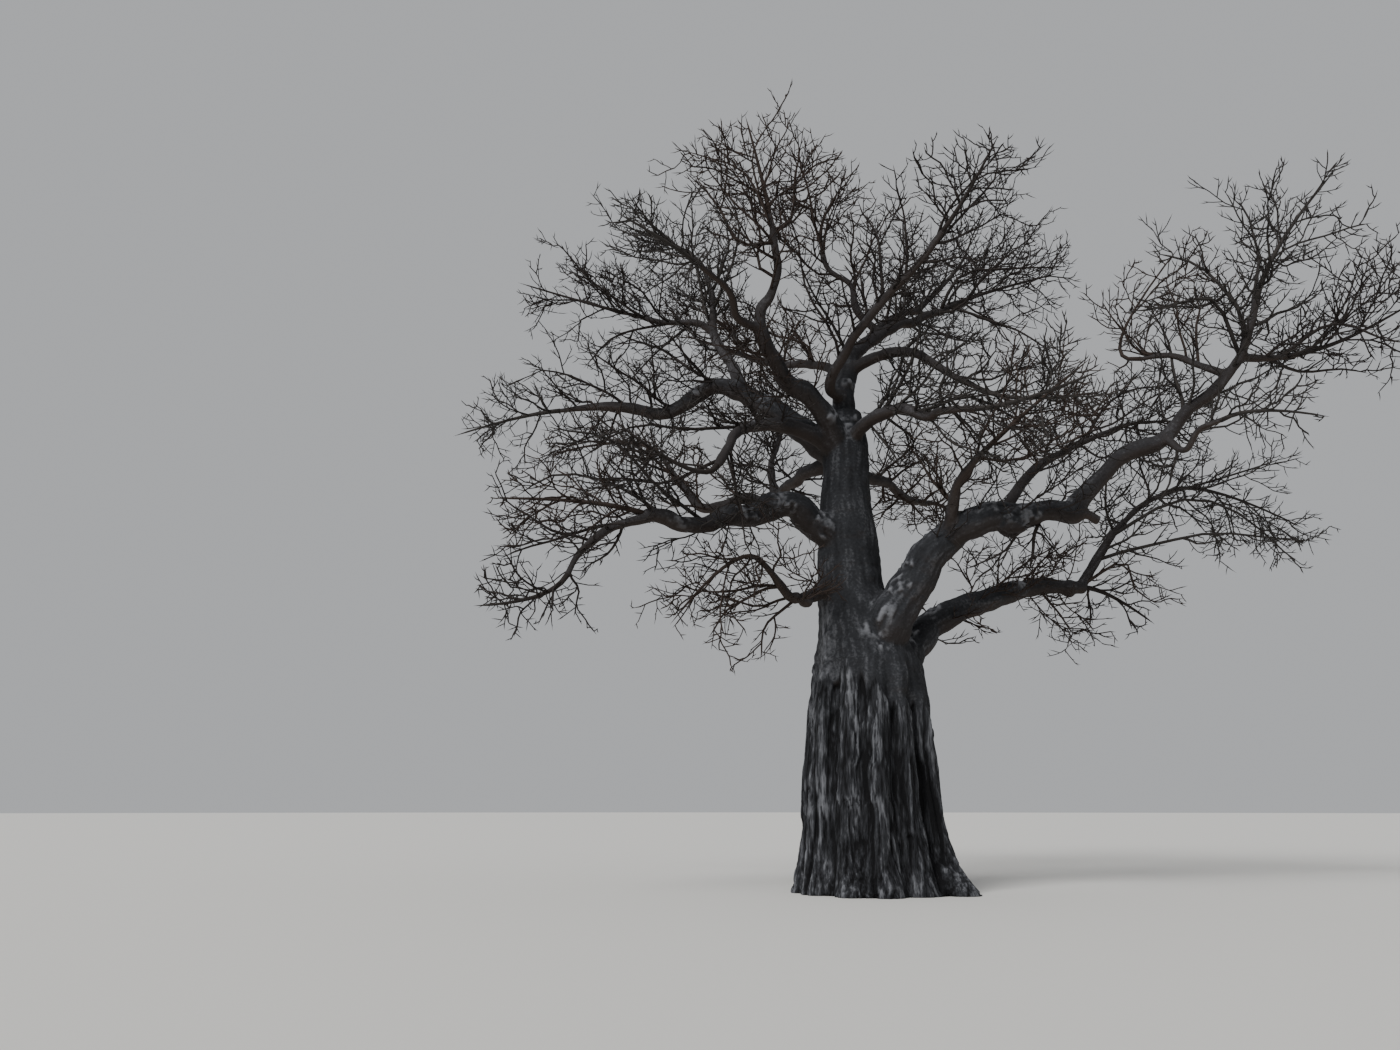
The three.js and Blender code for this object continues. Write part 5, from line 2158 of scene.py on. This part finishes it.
@dataclass
class Sprays:
    """The twigs of every mass as meshes, one piece for each mass, and sprigs along the limbs."""

    crown: Crown
    tints: tuple[TwigBark, ...] = (
        TwigBark("twig_bark_dark", "#211d1c", "#322c29"),
        TwigBark("twig_bark_brown", "#2b2320", "#3b312b"),
        TwigBark("twig_bark_grey", "#282524", "#3a3633"),
    )
    # Long forks, the shoots along branches and forks, and the twigs along shoots
    fork_order: ShootOrder = ShootOrder(
        first_index=0, gap=600, most=5, reach=(800, 1800), steps=6, angle=54, girth=0.7,
        thinnest=12.5, start=0.12, fall=0.35, least=400, forward=0.15, lift=0.16, wobble=0.07,
    )
    shoot_order: ShootOrder = ShootOrder(
        first_index=5, gap=225, most=14, reach=(360, 900), steps=4, angle=60, girth=0.55,
        thinnest=10.5, start=0.06, longest=0.6, least=150, forward=0.15, lift=0.22, wobble=0.04,
    )
    twig_order: ShootOrder = ShootOrder(
        first_index=32, gap=230, most=3, reach=(150, 340), steps=2, angle=54, girth=0.85,
        thinnest=9, start=0.2, fall=0.2, least=110, forward=0.2, stray=0.12, angle_range=26,
        roll_range=2.8, wobble=0.04,
    )

    # How far inside its limb's end a stem starts
    stem_root: float = 60
    # Faces round a stem, a branch, a fork, a shoot and a twig
    sides: tuple[int, int, int, int, int] = (7, 5, 4, 3, 3)

    def make(self) -> None:
        """Grows the twigs, and shows a piece for each mass and for each limb with side twigs."""
        barks = [tint.material() for tint in self.tints]
        stems = self.crown.stems()
        branches = together(
            [self.crown.branches(stems), self.crown.side_branches(stems), self.crown.long_branches()]
        )
        forks = self.crown.shoots(branches, self.fork_order)
        shoots = together([self.crown.shoots(group, self.shoot_order) for group in (branches, forks)])
        twigs = self.crown.shoots(shoots, self.twig_order)
        counts = [len(group.owner) for group in (branches, forks, shoots, twigs)]
        LOG.info("twigs: %d branches, %d forks, %d shoots, %d twigs", *counts)
        stems.spine[:, 0] -= self.crown.tip_way * self.stem_root
        orders = list(zip((stems, branches, forks, shoots, twigs), self.sides))
        for owner, name in enumerate(self.crown.names):
            mesh = mesh_from(f"{name}_fine", *self.joined(orders, owner))
            show(mesh, barks[owner % len(barks)], [name])
        for number, limb in enumerate(LIMBS):
            code = LIMB_CODE + number
            if code in branches.owner:
                mesh = mesh_from(f"{limb.name}_side_twigs", *self.joined(orders[1:], code))
                show(mesh, barks[number % len(barks)], [])

    def joined(self, orders: list[tuple[Twigs, int]], owner: int) -> tuple[Array, list[Array]]:
        """Tubes of one owner's twigs, of several orders, as one set of points and faces.

        Args:
            orders: Twigs and their number of sides.
            owner: The mass, or the code of the limb.

        Returns:
            The points and faces.
        """
        points, faces, start = [], [], 0
        for twigs, sides in orders:
            made, made_faces = tubes(twigs.chosen(twigs.owner == owner), sides)
            points.append(made)
            faces += [part + start for part in made_faces]
            start += len(made)
        return np.concatenate(points), faces


@dataclass(frozen=True)
class Studio:
    """A pale floor, soft light, and a camera where the photographer's eye was."""

    floor_radius: float = 400.0
    floor_sides: int = 96
    floor_colour: str = "#d9d7d2"
    floor_roughness: float = 0.95
    sky_colour: str = "#dfe1e4"
    sky_strength: float = 0.62
    sun_strength: float = 3.0
    sun_softness: float = 25.0
    sun_turn: Pair = (52.0, -38.0)
    camera_place: tuple[float, float, float] = (-3.53, -22.5, 1.6)
    camera_lift: float = 14.57
    lens: float = 28.0
    sensor: float = 36.0
    view_depth: float = 1000.0

    def make(self) -> None:
        """Sets up the floor, the light and the camera."""
        self.floor()
        self.light()
        self.camera()

    def floor(self) -> None:
        """Lays a plain matt floor."""
        turn = np.arange(self.floor_sides) * 2 * math.pi / self.floor_sides
        rim = np.stack([np.cos(turn), np.sin(turn), 0 * turn], -1) * self.floor_radius / MM
        mesh = mesh_from("floor", rim, [np.arange(self.floor_sides)[None]])
        floor = set_out("floor", mesh)
        material, _, shader = new_material("matt_floor_paint")
        shader.inputs["Base Color"].default_value = linear(self.floor_colour)
        shader.inputs["Roughness"].default_value = self.floor_roughness
        mesh.materials.append(material)
        floor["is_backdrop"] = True

    def light(self) -> None:
        """Lights the scene with a plain pale surround and one soft key light."""
        world = bpy.data.worlds.new("studio_surround")
        world.use_nodes = True
        surround = world.node_tree.nodes["Background"]
        surround.inputs["Color"].default_value = linear(self.sky_colour)
        surround.inputs["Strength"].default_value = self.sky_strength
        bpy.context.scene.world = world
        sun = bpy.data.lights.new("key_light", "SUN")
        sun.energy = self.sun_strength
        sun.angle = math.radians(self.sun_softness)
        key = set_out("key_light", sun)
        key.rotation_euler = (math.radians(self.sun_turn[0]), 0, math.radians(self.sun_turn[1]))

    def camera(self) -> None:
        """Places the camera at eye height, tilted up as the photograph's was."""
        data = bpy.data.cameras.new("camera")
        data.lens = self.lens
        data.sensor_width = self.sensor
        data.clip_end = self.view_depth
        camera = set_out("camera", data)
        camera.location = self.camera_place
        camera.rotation_euler = (math.radians(90 + self.camera_lift), 0, 0)
        bpy.context.scene.camera = camera


def main() -> None:
    """Builds the studio, the wood and the twigs in order."""
    logging.basicConfig(level=logging.INFO, format="%(message)s")
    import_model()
    low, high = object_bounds()
    Studio().make()
    trunk = TrunkShape()
    paths = Growth(trunk).grow()
    Wood(trunk, paths).make()
    Sprays(Crown(paths, trunk, np.array([list(low), list(high)]) / MM)).make()


if __name__ == "__main__":
    main()
